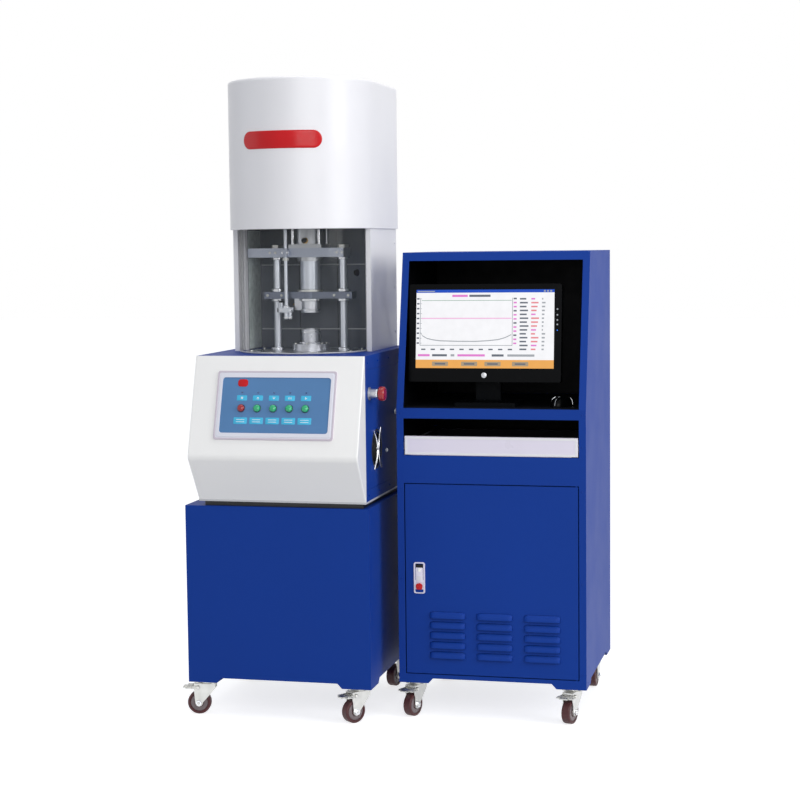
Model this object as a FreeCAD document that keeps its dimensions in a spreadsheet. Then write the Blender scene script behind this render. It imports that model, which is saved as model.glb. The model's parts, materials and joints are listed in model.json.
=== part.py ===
"""Mooney viscometer: a rotor tester on a castored cabinet, and the computer cabinet beside it.

The tester has a heated die press in a clear guard, a pneumatic ram in its head and a leaning
control panel. The frame is +Z up, with the origin at the middle of the footprint on the floor,
and -Y is the front. Every piece is drawn in a working frame that starts at the tester
cabinet's front left corner, and the finished pieces are then moved so that the origin is centred.
"""
import FreeCAD, Part
import math
import os
from types import SimpleNamespace

import Sketcher

Vector = FreeCAD.Vector
Rotation = FreeCAD.Rotation
Placement = FreeCAD.Placement

X_AXIS = Vector(1, 0, 0)
Y_AXIS = Vector(0, 1, 0)
Z_AXIS = Vector(0, 0, 1)
HALF_TURN = Rotation(Z_AXIS, 180)

# Driving dimensions in millimetres, and angles in degrees

DRIVING = {
    # fits and gaps
    "running_gap": 0.05,
    "seat_gap": 0.3,
    # castors
    "castor_height": 112,
    "castor_inset": 48,
    "castor_trail": 28,
    "castor_plate_side": 72,
    "castor_sheet": 3,
    "race_radius": 22,
    "race_height": 8,
    "kingpin_radius": 5,
    "kingpin_head_radius": 9,
    "swivel_gap": 0.4,
    "tyre_radius": 37.5,
    "tyre_width": 28,
    "tyre_shoulder": 4,
    "hub_radius": 13,
    "hub_recess": 3,
    "fork_side_gap": 1.5,
    "fork_nose": 26,
    "axle_radius": 4,
    "axle_head_radius": 7,
    "axle_head_height": 4,
    "pedal_pin_radius": 3,
    "pedal_reach": 80,
    "pedal_width": 56,
    "pedal_tip": 10,
    # sheet-metal cabinets
    "sheet": 2,
    "foot_length": 95,
    "foot_rise": 16,
    "foot_slope": 15,
    "foot_plate": 3,
    # tester cabinet
    "tester_width": 605,
    "tester_depth": 600,
    "tester_top": 684,
    # tester body
    "plinth_height": 16,
    "plinth_inset": 14,
    "plinth_bar": 30,
    "base_plate_height": 6,
    "body_left": 49,
    "body_width": 549,
    "body_height": 455,
    "cover_seam_rise": 35,
    "cover_seam_drop": 45,
    "seam_width": 3,
    "seam_depth": 1,
    # front hood and control panel
    "hood_lip": 5,
    "hood_reach": 105,
    "hood_ridge_rise": 143,
    "hood_wall": 3,
    "hood_ridge_round": 24,
    "hood_edge_round": 4,
    "panel_width": 384,
    "panel_length": 217,
    "panel_drop": 151,
    "panel_thickness": 4,
    "panel_corner": 6,
    "panel_field_width": 349,
    "panel_field_length": 175,
    "panel_field_depth": 0.8,
    "button_radius": 11,
    "button_pitch": 52,
    "button_drop": 10,
    "button_height": 10,
    "button_travel": 4,
    "button_stem_radius": 5,
    # emergency stop and fan on the right side, inlets on the back
    "estop_back": 45,
    "estop_drop": 119,
    "estop_collar_radius": 15,
    "estop_collar_length": 30,
    "estop_head_radius": 22,
    "estop_head_length": 18,
    "estop_stem_radius": 9,
    "estop_travel": 5,
    "fan_back": 132,
    "fan_rise": 152,
    "fan_frame_side": 120,
    "fan_frame_depth": 25,
    "fan_throat_radius": 57,
    "fan_hub_radius": 19,
    "fan_shaft_radius": 2,
    "fan_blade_sheet": 2,
    "fan_guard_rod": 4,
    "inlet_across": 420,
    "inlet_rise": 234,
    "inlet_width": 158,
    "inlet_length": 97,
    "inlet_plate": 3,
    "air_port_radius": 5.6,
    "air_port_depth": 12,
    "air_boss_radius": 12,
    # tower
    "tower_axis_x": 323,
    "tower_axis_y": 287,
    "head_radius": 238.5,
    "tower_height": 397,
    "head_height": 472,
    "head_round": 10,
    "head_lip": 21,
    "column_half_width": 232,
    "column_front": 255,
    "column_lip": 16,
    "rail_front": 290,
    "rail_back": 318,
    "rail_width": 26,
    "guard_radius": 214,
    "guard_sheet": 4,
    "guard_lap": 12.3,
    "guard_wing": 24,
    "liner_back": 450,
    # die press
    "press_y": 350,
    "table_radius": 200,
    "table_y": 300,
    "table_sheet": 20,
    "table_leg_side": 40,
    "post_radius": 12.5,
    "post_spacing": 227,
    "beam_rise": 305,
    "beam_height": 30,
    "beam_depth": 90,
    "beam_left_reach": 200,
    "beam_right_reach": 127,
    "crosshead_height": 22,
    "crosshead_length": 300,
    "crosshead_depth": 60,
    "ram_radius": 33,
    "ram_length": 328,
    "piston_height": 20,
    "cylinder_bore": 45,
    "cylinder_wall": 5,
    "cylinder_flange_side": 112,
    "cylinder_flange": 12,
    "cylinder_length": 304,
    "gland_radius": 42,
    "gland_height": 13,
    "die_radius": 31,
    "lower_die_height": 48,
    "upper_die_height": 46,
    "die_gap": 55,
    "die_cavity_radius": 25.45,
    "die_cavity_depth": 5.3,
    "base_disc_radius": 61,
    "base_disc_height": 20,
    "heater_box_width": 24,
    "rotor_radius": 19.05,
    "rotor_thickness": 5.54,
    "rotor_shaft_radius": 5,
    "torque_cell_radius": 45,
    "torque_cell_height": 20,
    "gearbox_side": 120,
    "gearbox_height": 80,
    "gearbox_floor": 10,
    "motor_radius": 45,
    "motor_length": 140,
    "probe_rod_radius": 6,
    "probe_rod_x": 256,
    "probe_rod_drop": 166,
    "probe_rod_rise": 134,
    # computer cabinet
    "computer_gap": 61,
    "computer_set_back": 125,
    "computer_width": 600,
    "computer_depth": 600,
    "bay_height": 488,
    "computer_slope": 109,
    "frame_flange": 22,
    "top_flange": 27,
    "shelf_top": 990,
    "shelf_band": 32,
    "keyboard_gap": 149,
    "door_top_rail": 88,
    "door_bottom_rail": 13,
    "rail_return": 20,
    # door and latch
    "door_gap": 3,
    "door_depth": 10,
    "door_skin": 1.5,
    "door_pivot_inset": 6,
    "door_pivot_back": 4,
    "door_pin_radius": 3,
    "door_pin_height": 5.5,
    "louvre_width": 105,
    "louvre_pitch_x": 151,
    "louvre_pitch_z": 32,
    "louvre_first_x": 159,
    "louvre_first_z": 196,
    "louvre_slot": 8,
    "louvre_depth": 7,
    "louvre_rise": 17,
    "latch_x": 69.5,
    "latch_height": 451,
    "latch_width": 34,
    "latch_length": 98,
    "latch_plate": 3,
    "latch_pan_depth": 9,
    "handle_width": 24,
    "handle_length": 60,
    "handle_sheet": 5,
    "handle_pin_radius": 1.5,
    "latch_button_radius": 5,
    "latch_button_travel": 3,
    # keyboard drawer
    "drawer_lift": 2,
    "drawer_face_height": 59,
    "drawer_face_depth": 12,
    "drawer_side_inset": 38,
    "drawer_length": 420,
    "drawer_wall_height": 40,
    "drawer_sheet": 1.5,
    "runner_depth": 30,
    "runner_height": 24,
    "runner_groove": 6,
    "slide_height": 12,
    "slide_rise": 27,
    "keyboard_width": 440,
    "keyboard_depth": 140,
    "keyboard_height": 20,
    # monitor, mouse and computer case
    "monitor_centre": 269,
    "monitor_face": 75,
    "monitor_width": 488,
    "monitor_height": 309,
    "monitor_rise": 71,
    "monitor_depth": 34,
    "monitor_round": 6,
    "monitor_lean": 6,
    "screen_width": 443,
    "screen_height": 249,
    "screen_low": 43,
    "screen_recess": 1,
    "stand_width": 200,
    "stand_depth": 170,
    "stand_sheet": 12,
    "neck_width": 80,
    "neck_depth": 30,
    "hinge_rise": 200,
    "hinge_pin_radius": 5,
    "hinge_knuckle_radius": 14,
    "hinge_knuckle_width": 40,
    "hinge_ear_width": 10,
    "mouse_x": 492,
    "mouse_y": 70,
    "mouse_width": 62,
    "mouse_length": 108,
    "mouse_height": 34,
    "case_width": 180,
    "case_depth": 400,
    "case_height": 360,
    "case_x": 330,
    "case_y": 110,
    "case_foot": 10,
}

# Rest angle of each castor's trail about the vertical, in degrees from +X
TESTER_TRAILS = {"front_left": 190, "front_right": 232, "rear_left": 262, "rear_right": 257}
COMPUTER_TRAILS = {"front_left": 250, "front_right": 254, "rear_left": 256, "rear_right": 268}


class Size(float):
    """A number that also carries the spreadsheet formula it comes from."""

    def __new__(cls, number, formula=None):
        size = float.__new__(cls, number)
        size.formula = formula if formula else repr(float(number))
        return size

    def __add__(self, other):
        return joined(self, "+", other, float(self) + float(other))

    def __radd__(self, other):
        return joined(other, "+", self, float(other) + float(self))

    def __sub__(self, other):
        return joined(self, "-", other, float(self) - float(other))

    def __rsub__(self, other):
        return joined(other, "-", self, float(other) - float(self))

    def __mul__(self, other):
        return joined(self, "*", other, float(self) * float(other))

    def __rmul__(self, other):
        return joined(other, "*", self, float(other) * float(self))

    def __truediv__(self, other):
        return joined(self, "/", other, float(self) / float(other))

    def __neg__(self):
        return joined(0, "-", self, -float(self))


def joined(left, sign, right, number):
    """The Size that an arithmetic step gives, with its formula."""
    texts = [side.formula if isinstance(side, Size) else repr(float(side)) for side in (left, right)]
    return Size(number, f"({texts[0]} {sign} {texts[1]})")


doc = FreeCAD.newDocument("mooney_viscometer")


def driving_sheet():
    """Write the driving dimensions to a spreadsheet and return them as named sizes."""
    sheet = doc.addObject("Spreadsheet::Sheet", "sizes")
    for row, (alias, number) in enumerate(DRIVING.items(), start=1):
        sheet.set(f"A{row}", alias)
        sheet.set(f"B{row}", str(number))
        sheet.setAlias(f"B{row}", alias)
    doc.recompute()
    return SimpleNamespace(**{alias: Size(sheet.get(alias), f"sizes.{alias}") for alias in DRIVING})


s = driving_sheet()
NODES = {}

# Places that several pieces share

fork_top = s.castor_height - s.castor_sheet - s.race_height - s.swivel_gap
fork_inside = s.tyre_width / 2 + s.fork_side_gap
fork_outside = fork_inside + s.castor_sheet
pedal_pin_x = s.castor_trail + 2
pedal_pin_z = s.castor_height - 24
foot_top = s.castor_height + s.foot_rise
base_plate_bottom = s.tester_top + s.plinth_height
body_bottom = base_plate_bottom + s.base_plate_height
body_top = body_bottom + s.body_height
body_right = s.body_left + s.body_width
cover_seams = (body_bottom + s.cover_seam_rise, body_top - s.cover_seam_drop)
hood_ridge = body_bottom + s.hood_ridge_rise
hood_lean = math.degrees(math.atan2(s.hood_reach - s.hood_lip, body_top - hood_ridge))
estop_height = body_top - s.estop_drop
fan_height = body_bottom + s.fan_rise
inlet_height = body_bottom + s.inlet_rise
head_bottom = body_top + s.tower_height
head_top = head_bottom + s.head_height
guard_bottom = body_top + s.seat_gap
guard_height = head_bottom + s.guard_lap - guard_bottom
lower_die_face = body_top + s.base_disc_height + s.lower_die_height
upper_die_face = lower_die_face + s.die_gap
crosshead_bottom = upper_die_face + s.upper_die_height
crosshead_top = crosshead_bottom + s.crosshead_height
beam_bottom = body_top + s.beam_rise
cylinder_bottom = beam_bottom + s.beam_height
cylinder_top = cylinder_bottom + s.cylinder_length
probe_rod_bottom = beam_bottom - s.probe_rod_drop
probe_rod_top = beam_bottom + s.probe_rod_rise
computer_x = s.tester_width + s.computer_gap
computer_top = s.shelf_top + s.bay_height
keyboard_floor = s.shelf_top - s.keyboard_gap
door_top_rail_bottom = keyboard_floor - s.door_top_rail
door_bottom_rail_top = foot_top + s.door_bottom_rail
door_left = s.frame_flange + s.door_gap
door_right = s.computer_width - s.frame_flange - s.door_gap
door_bottom = door_bottom_rail_top + s.door_gap
door_top = door_top_rail_bottom - s.door_gap
door_pivot_x = door_right - s.door_pivot_inset
button_z = s.latch_height - s.latch_length * 0.22
drawer_bottom = keyboard_floor + s.drawer_lift
slide_middle = drawer_bottom + s.slide_rise
monitor_bottom = s.shelf_top + s.monitor_rise
hinge_height = s.shelf_top + s.hinge_rise


# Drawing helpers

def bind(feature, name, size):
    """Set a feature's size and tie it to the spreadsheet formula."""
    setattr(feature, name, float(size))
    if isinstance(size, Size):
        feature.setExpression(name, size.formula)


def at(x, y, z, turn=None):
    """A placement at a point, with an optional rotation."""
    return Placement(Vector(float(x), float(y), float(z)), turn if turn else Rotation())


def node(label, feature):
    """Name a finished sub-part."""
    feature.Label = label
    NODES[label] = feature
    return feature


def box(length, width, height, x=0, y=0, z=0):
    """A block with its low corner at x, y, z."""
    feature = doc.addObject("Part::Box", "block")
    bind(feature, "Length", length)
    bind(feature, "Width", width)
    bind(feature, "Height", height)
    feature.Placement = at(x, y, z)
    return feature


def rod(radius, height, x=0, y=0, z=0, along=Z_AXIS, sweep=360):
    """A cylinder that starts at x, y, z and runs along an axis."""
    feature = doc.addObject("Part::Cylinder", "rod")
    bind(feature, "Radius", radius)
    bind(feature, "Height", height)
    feature.Angle = sweep
    feature.Placement = at(x, y, z, Rotation(Z_AXIS, along))
    return feature


def cut(base, *tools):
    """The base with the tools taken away."""
    feature = doc.addObject("Part::Cut", "cut")
    feature.Base = base
    feature.Tool = tools[0] if len(tools) == 1 else fuse(*tools)
    return feature


def fuse(*parts):
    """Several touching shapes as one solid."""
    feature = doc.addObject("Part::MultiFuse", "fusion")
    feature.Shapes = list(parts)
    feature.Refine = True
    return feature


def group(*parts):
    """Separate solids that share one node."""
    feature = doc.addObject("Part::Compound", "group")
    feature.Links = list(parts)
    return feature


def rounded(base, radius, chosen):
    """The base with the chosen edges rounded."""
    doc.recompute()
    feature = doc.addObject("Part::Fillet", "rounding")
    feature.Base = base
    feature.Edges = [(number, float(radius), float(radius))
                     for number, edge in enumerate(base.Shape.Edges, start=1) if chosen(edge)]
    return feature


def new_body(name):
    """An empty PartDesign body."""
    return doc.addObject("PartDesign::Body", name)


def sketch_on(body, role, level=0):
    """A sketch on one of the body's origin planes, moved along world X, Y or Z by level."""
    sketch = body.newObject("Sketcher::SketchObject", "outline")
    plane = next(item for item in body.Origin.OriginFeatures if item.Role == role)
    sketch.AttachmentSupport = (plane, [""])
    sketch.MapMode = "FlatFace"
    along_normal = -level if role == "XZ_Plane" else level
    sketch.AttachmentOffset = at(0, 0, along_normal)
    if isinstance(along_normal, Size):
        sketch.setExpression("AttachmentOffset.Base.z", along_normal.formula)
    return sketch


def dimension(sketch, kind, index, point, size):
    """Hold one point of the sketch at a distance from its origin."""
    number = sketch.addConstraint(Sketcher.Constraint(kind, -1, 1, index, point, float(size)))
    if isinstance(size, Size):
        sketch.setExpression(f"Constraints[{number}]", size.formula)


def polygon(sketch, points):
    """A closed outline of straight edges, each corner dimensioned."""
    first = sketch.GeometryCount
    count = len(points)
    for here, there in zip(points, points[1:] + points[:1]):
        start = Vector(float(here[0]), float(here[1]), 0)
        end = Vector(float(there[0]), float(there[1]), 0)
        sketch.addGeometry(Part.LineSegment(start, end), False)
    for step in range(count):
        following = first + (step + 1) % count
        sketch.addConstraint(Sketcher.Constraint("Coincident", first + step, 2, following, 1))
    for step, (across, along) in enumerate(points):
        dimension(sketch, "DistanceX", first + step, 1, across)
        dimension(sketch, "DistanceY", first + step, 1, along)
    return sketch


def rectangle(sketch, low_u, low_v, high_u, high_v):
    """A rectangle between two corners."""
    return polygon(sketch, [(low_u, low_v), (high_u, low_v), (high_u, high_v), (low_u, high_v)])


def circle(sketch, u, v, radius):
    """A circle with its centre and radius dimensioned."""
    index = sketch.addGeometry(Part.Circle(Vector(float(u), float(v), 0), Z_AXIS, float(radius)), False)
    number = sketch.addConstraint(Sketcher.Constraint("Radius", index, float(radius)))
    if isinstance(radius, Size):
        sketch.setExpression(f"Constraints[{number}]", radius.formula)
    dimension(sketch, "DistanceX", index, 3, u)
    dimension(sketch, "DistanceY", index, 3, v)
    return sketch


def pad(body, sketch, length, towards_minus_y=False):
    """Raise a sketch along +X, +Z or, from an XZ sketch, towards +Y or -Y."""
    feature = body.newObject("PartDesign::Pad", "pad")
    feature.Profile = sketch
    bind(feature, "Length", length)
    on_xz = "XZ" in sketch.AttachmentSupport[0][0].Role
    feature.Reversed = on_xz and not towards_minus_y
    return feature


def pocket(body, sketch, length):
    """Cut a sketch away along +X, +Y or +Z, and make sure that it removed material."""
    doc.recompute()
    before = body.Shape.Volume
    feature = body.newObject("PartDesign::Pocket", "pocket")
    feature.Profile = sketch
    bind(feature, "Length", length)
    feature.Reversed = "XZ" not in sketch.AttachmentSupport[0][0].Role
    doc.recompute()
    if body.Shape.Volume >= before:
        raise RuntimeError(f"{body.Name}: a pocket removed nothing")
    return feature


def spin(body, sketch, axis="V_Axis"):
    """Turn a sketch a full turn about one of its axes."""
    feature = body.newObject("PartDesign::Revolution", "revolution")
    feature.Profile = sketch
    feature.ReferenceAxis = (sketch, [axis])
    feature.Angle = 360
    return feature


def round_body(body, radius, chosen):
    """Round the chosen edges of a body."""
    doc.recompute()
    names = [f"Edge{number}" for number, edge in enumerate(body.Tip.Shape.Edges, start=1) if chosen(edge)]
    feature = body.newObject("PartDesign::Fillet", "fillet")
    feature.Base = (body.Tip if body.Tip != feature else feature.BaseFeature, names)
    bind(feature, "Radius", radius)
    return feature


def upright(edge):
    """True for a straight edge along Z."""
    low, high = edge.BoundBox.ZMin, edge.BoundBox.ZMax
    return high - low > 0.9 * edge.Length and edge.Length > 1


# Castors

def castor_plate(x, y):
    """Top plate with its ball race and riveted kingpin."""
    side = s.castor_plate_side
    plate_z = s.castor_height - s.castor_sheet
    race_z = plate_z - s.race_height
    pin_bottom = fork_top - s.castor_sheet - s.swivel_gap - 4
    plate = box(side, side, s.castor_sheet, x - side / 2, y - side / 2, plate_z)
    race = rod(s.race_radius, s.race_height, x, y, race_z)
    kingpin = rod(s.kingpin_radius, race_z - pin_bottom, x, y, pin_bottom)
    head = rod(s.kingpin_head_radius, 4, x, y, pin_bottom)
    return fuse(plate, race, kingpin, head)


def castor_fork(place):
    """Pressed fork with its axle; the trail runs along the fork's own +X."""
    body = new_body("fork")
    trail = s.castor_trail
    back = trail + 16
    side = [
        (-s.fork_nose, fork_top), (-s.fork_nose, fork_top - 16),
        (trail - 12, s.tyre_radius), (trail - 9, s.tyre_radius - 9), (trail, s.tyre_radius - 13),
        (trail + 9, s.tyre_radius - 9), (trail + 12, s.tyre_radius),
        (back, fork_top - 16), (back, fork_top),
    ]
    pad(body, polygon(sketch_on(body, "XZ_Plane", -fork_outside), side), fork_outside * 2)
    web_bottom = fork_top - s.castor_sheet
    hollow = [(-s.fork_nose - 1, 0), (back + 1, 0), (back + 1, web_bottom), (-s.fork_nose - 1, web_bottom)]
    pocket(body, polygon(sketch_on(body, "XZ_Plane", -fork_inside), hollow), fork_inside * 2)
    bore = s.kingpin_radius + s.running_gap
    pocket(body, circle(sketch_on(body, "XY_Plane", web_bottom - 1), 0, 0, bore), s.castor_sheet + 2)
    axle_hole = circle(sketch_on(body, "XZ_Plane", -fork_outside - 1), trail, s.tyre_radius,
                       s.axle_radius + s.running_gap)
    pocket(body, axle_hole, fork_outside * 2 + 2)
    pin_hole = circle(sketch_on(body, "XZ_Plane", -fork_outside - 1), pedal_pin_x, pedal_pin_z,
                      s.pedal_pin_radius + s.running_gap)
    pocket(body, pin_hole, fork_outside * 2 + 2)
    head_y = -fork_outside - s.axle_head_height
    axle = rod(s.axle_radius, -head_y * 2, trail, head_y, s.tyre_radius, Y_AXIS)
    near_head = rod(s.axle_head_radius, s.axle_head_height, trail, head_y, s.tyre_radius, Y_AXIS)
    far_head = rod(s.axle_head_radius, s.axle_head_height, trail, fork_outside, s.tyre_radius, Y_AXIS)
    pieces = group(body, fuse(axle, near_head, far_head))
    pieces.Placement = place
    return pieces


def castor_wheel(place):
    """Tyre and hub in one turned piece, on its axle."""
    body = new_body("wheel")
    bore = s.axle_radius + s.running_gap
    half = s.tyre_width / 2
    dish = half - s.hub_recess
    tread = s.tyre_radius - s.tyre_shoulder
    rim = s.tyre_radius - 8
    profile = [
        (bore, -half), (s.hub_radius, -half), (s.hub_radius + 1, -dish), (rim - 1.5, -dish), (rim, -half),
        (tread, -half), (s.tyre_radius - 1.2, -half + 1.2), (s.tyre_radius, -half + s.tyre_shoulder),
        (s.tyre_radius, half - s.tyre_shoulder), (s.tyre_radius - 1.2, half - 1.2), (tread, half),
        (rim, half), (rim - 1.5, dish), (s.hub_radius + 1, dish), (s.hub_radius, half), (bore, half),
    ]
    spin(body, polygon(sketch_on(body, "XY_Plane"), profile))
    body.Placement = place.multiply(at(s.castor_trail, 0, s.tyre_radius))
    return body


def castor_pedal(place):
    """Brake lever on a pin through the fork."""
    arm_y = fork_outside + s.seat_gap
    pin = rod(s.pedal_pin_radius, arm_y * 2 + 6, pedal_pin_x, -arm_y - 3, pedal_pin_z, Y_AXIS)
    arms = [box(28, 3, 9, pedal_pin_x - 5, start, pedal_pin_z - 4.5) for start in (-arm_y - 3, arm_y)]
    tread_start = pedal_pin_x + 19
    tread_z = pedal_pin_z - 2
    tread_length = s.pedal_reach - s.pedal_tip - tread_start
    tread = box(tread_length, s.pedal_width, 3, tread_start, -s.pedal_width / 2, tread_z)
    tip = box(s.pedal_tip, s.pedal_width / 2, 3, s.pedal_reach - s.pedal_tip, -s.pedal_width / 4, tread_z)
    lever = fuse(pin, *arms, tread, tip)
    lever.Placement = place
    return lever


def castor_set(prefix, left, front, width, depth, trails):
    """Four castors under one cabinet; the front two have brakes."""
    plates = []
    for corner, angle in trails.items():
        x = left + (s.castor_inset if corner.endswith("left") else width - s.castor_inset)
        y = front + (s.castor_inset if corner.startswith("front") else depth - s.castor_inset)
        turn = Rotation(Z_AXIS, angle)
        plates.append(castor_plate(x, y))
        node(f"{prefix}_fork_{corner}", castor_fork(at(x, y, 0, turn)))
        node(f"{prefix}_wheel_{corner}", castor_wheel(at(x, y, 0, turn)))
        if corner.startswith("front"):
            node(f"{prefix}_pedal_{corner}", castor_pedal(at(x, y, 0, turn)))
    return plates


# Sheet-metal bottoms that both cabinets share

def raise_skirt(body, width, depth):
    """Cut the folded floor and the raised skirt between four corner feet."""
    inner = foot_top - s.castor_height - s.foot_plate
    under = sketch_on(body, "XY_Plane", s.castor_height + s.foot_plate)
    rectangle(under, s.sheet, s.sheet, width - s.sheet, depth - s.sheet)
    pocket(body, under, inner)
    across = sketch_on(body, "XY_Plane", s.castor_height)
    rectangle(across, s.foot_length, s.sheet, width - s.foot_length, depth - s.sheet)
    pocket(body, across, s.foot_plate)
    along = sketch_on(body, "XY_Plane", s.castor_height)
    rectangle(along, s.sheet, s.foot_length, width - s.sheet, depth - s.foot_length)
    pocket(body, along, s.foot_plate)
    for role, span, other in (("XZ_Plane", width, depth), ("YZ_Plane", depth, width)):
        ends = (s.foot_length, span - s.foot_length)
        gap = [
            (ends[0], s.castor_height), (ends[1], s.castor_height),
            (ends[1] - s.foot_slope, foot_top), (ends[0] + s.foot_slope, foot_top),
        ]
        pocket(body, polygon(sketch_on(body, role), gap), other)


# Tester cabinet and body

def tester_cabinet():
    """Welded cabinet with a raised skirt between its feet."""
    body = new_body("tester_cabinet")
    outer = rectangle(sketch_on(body, "XY_Plane", s.castor_height), 0, 0, s.tester_width, s.tester_depth)
    pad(body, outer, s.tester_top - s.castor_height)
    inside = sketch_on(body, "XY_Plane", foot_top + s.sheet)
    rectangle(inside, s.sheet, s.sheet, s.tester_width - s.sheet, s.tester_depth - s.sheet)
    pocket(body, inside, s.tester_top - foot_top - s.sheet * 2)
    raise_skirt(body, s.tester_width, s.tester_depth)
    return node("tester_cabinet", body)


def plinth():
    """Recessed black frame between the cabinet and the body."""
    width = s.body_width - s.plinth_inset * 2
    depth = s.tester_depth - s.plinth_inset * 2
    x = s.body_left + s.plinth_inset
    y = s.plinth_inset
    hole_w = width - s.plinth_bar * 2
    hole_d = depth - s.plinth_bar * 2
    frame = box(width, depth, s.plinth_height, x, y, s.tester_top)
    hole = box(hole_w, hole_d, s.plinth_height, x + s.plinth_bar, y + s.plinth_bar, s.tester_top)
    return node("plinth", cut(frame, hole))


def base_plate():
    """Light plate that carries the tester body."""
    depth = s.tester_depth + s.hood_lip
    plate = box(s.body_width, depth, s.base_plate_height, s.body_left, -s.hood_lip, base_plate_bottom)
    return node("base_plate", plate)


def body_shell():
    """Side walls, back and deck of the tester body, open at the front."""
    body = new_body("body_shell")
    outer = rectangle(sketch_on(body, "XY_Plane", body_bottom), s.body_left, 0, body_right, s.tester_depth)
    pad(body, outer, body_top - body_bottom)
    inside = sketch_on(body, "XY_Plane", body_bottom)
    rectangle(inside, s.body_left + s.sheet, -1, body_right - s.sheet, s.tester_depth - s.sheet)
    pocket(body, inside, body_top - s.sheet - body_bottom)
    deck = sketch_on(body, "XY_Plane", body_top - s.sheet)
    circle(deck, s.tower_axis_x, s.table_y, s.table_radius + s.seat_gap)
    pocket(body, deck, s.sheet)
    side = sketch_on(body, "YZ_Plane", body_right - s.sheet)
    circle(side, s.fan_back, fan_height, s.fan_throat_radius)
    circle(side, s.estop_back, estop_height, s.estop_stem_radius + s.seat_gap)
    pocket(body, side, s.sheet)
    for level in cover_seams:
        for start in (s.body_left, body_right - s.seam_depth):
            seam = sketch_on(body, "YZ_Plane", start)
            low = level - s.seam_width / 2
            rectangle(seam, 0, low, s.tester_depth, low + s.seam_width)
            pocket(body, seam, s.seam_depth)
    return node("body_shell", body)


def front_hood():
    """Wedge-shaped front shell with an opening behind the control panel."""
    body = new_body("front_hood_shell")
    ridge = (-s.hood_reach, hood_ridge)
    outer = [(0, body_top), (-s.hood_lip, body_top), ridge, (-s.hood_lip, body_bottom), (0, body_bottom)]
    pad(body, polygon(sketch_on(body, "YZ_Plane", s.body_left), outer), s.body_width)
    on_ridge = -float(s.hood_reach) + 1
    round_body(body, s.hood_ridge_round, lambda edge: edge.BoundBox.YMax < on_ridge)
    round_body(body, s.hood_edge_round, lambda edge: edge.BoundBox.YMax < -1 and edge.BoundBox.XLength < 1)
    wall = s.hood_wall
    slack = wall * 0.8
    inner = [
        (1, body_top - wall), (-s.hood_lip + wall, body_top - wall),
        (ridge[0] + wall * 2.2, hood_ridge + slack * 2),
        (ridge[0] + wall * 2.2, hood_ridge - slack * 2),
        (-s.hood_lip + wall * 1.4, body_bottom + wall), (1, body_bottom + wall),
    ]
    hollow = polygon(sketch_on(body, "YZ_Plane", s.body_left + wall), inner)
    pocket(body, hollow, s.body_width - wall * 2)
    window = box(s.panel_field_width - 40, s.panel_field_length - 40, 40,
                 -(s.panel_field_width - 40) / 2, -(s.panel_field_length - 40) / 2, -30)
    window.Placement = panel_place().multiply(window.Placement)
    return node("front_hood", cut(body, window))


def panel_place():
    """Middle of the control panel on the hood's leaning face, with its normal outwards."""
    slope = (s.hood_reach - s.hood_lip) / (body_top - hood_ridge)
    y = -s.hood_lip - s.panel_drop * slope
    return at(s.tower_axis_x, y, body_top - s.panel_drop, Rotation(X_AXIS, 90 - hood_lean))


def button_offsets():
    """Places of the five push buttons across the panel, from its middle."""
    return [s.button_pitch * step - 5 for step in (-2, -1, 0, 1, 2)]


def control_panel():
    """Framed panel plate with a sunk field and five button bores."""
    body = new_body("control_panel")
    half_w = s.panel_width / 2
    half_l = s.panel_length / 2
    pad(body, rectangle(sketch_on(body, "XY_Plane"), -half_w, -half_l, half_w, half_l), s.panel_thickness)
    round_body(body, s.panel_corner, upright)
    field_w = s.panel_field_width / 2
    field_l = s.panel_field_length / 2
    field = sketch_on(body, "XY_Plane", s.panel_thickness - s.panel_field_depth)
    pocket(body, rectangle(field, -field_w, -field_l, field_w, field_l), s.panel_field_depth)
    bores = sketch_on(body, "XY_Plane")
    for offset in button_offsets():
        circle(bores, offset, -s.button_drop, s.button_radius + s.running_gap)
    pocket(body, bores, s.panel_thickness)
    body.Placement = panel_place().multiply(at(0, 0, s.seat_gap))
    return node("control_panel", body)


def panel_buttons():
    """Domed push buttons, one red and four green."""
    names = ["button_stop", "button_open", "button_close", "button_heat", "button_run"]
    for name, offset in zip(names, button_offsets()):
        body = new_body(name)
        radius = s.button_radius
        top = s.button_height
        profile = [
            (0, -16), (s.button_stem_radius, -16), (s.button_stem_radius, -5), (radius - 1, -5), (radius, -4),
            (radius, top - 5), (radius - 1.2, top - 3), (radius - 3.5, top - 1.2), (radius - 7, top - 0.2),
            (0, top),
        ]
        spin(body, polygon(sketch_on(body, "XZ_Plane"), profile))
        body.Placement = panel_place().multiply(at(offset, -s.button_drop, s.panel_thickness))
        node(name, body)


def emergency_stop():
    """Collar fixed to the side wall and the mushroom head that pushes in."""
    y = s.estop_back
    z = estop_height
    collar = cut(
        rod(s.estop_collar_radius, s.estop_collar_length, body_right, y, z, X_AXIS),
        rod(s.estop_stem_radius + s.running_gap, s.estop_collar_length, body_right, y, z, X_AXIS))
    node("estop_collar", collar)
    head_x = body_right + s.estop_collar_length + s.estop_travel
    stem_length = s.estop_collar_length + s.estop_travel + 1
    stem = rod(s.estop_stem_radius, stem_length, body_right, y, z, X_AXIS)
    head = rod(s.estop_head_radius, s.estop_head_length, head_x, y, z, X_AXIS)
    rim = float(head_x + s.estop_head_length) - 1
    domed = rounded(head, 6, lambda edge: edge.BoundBox.XMin > rim)
    node("estop_button", fuse(stem, domed))


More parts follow.
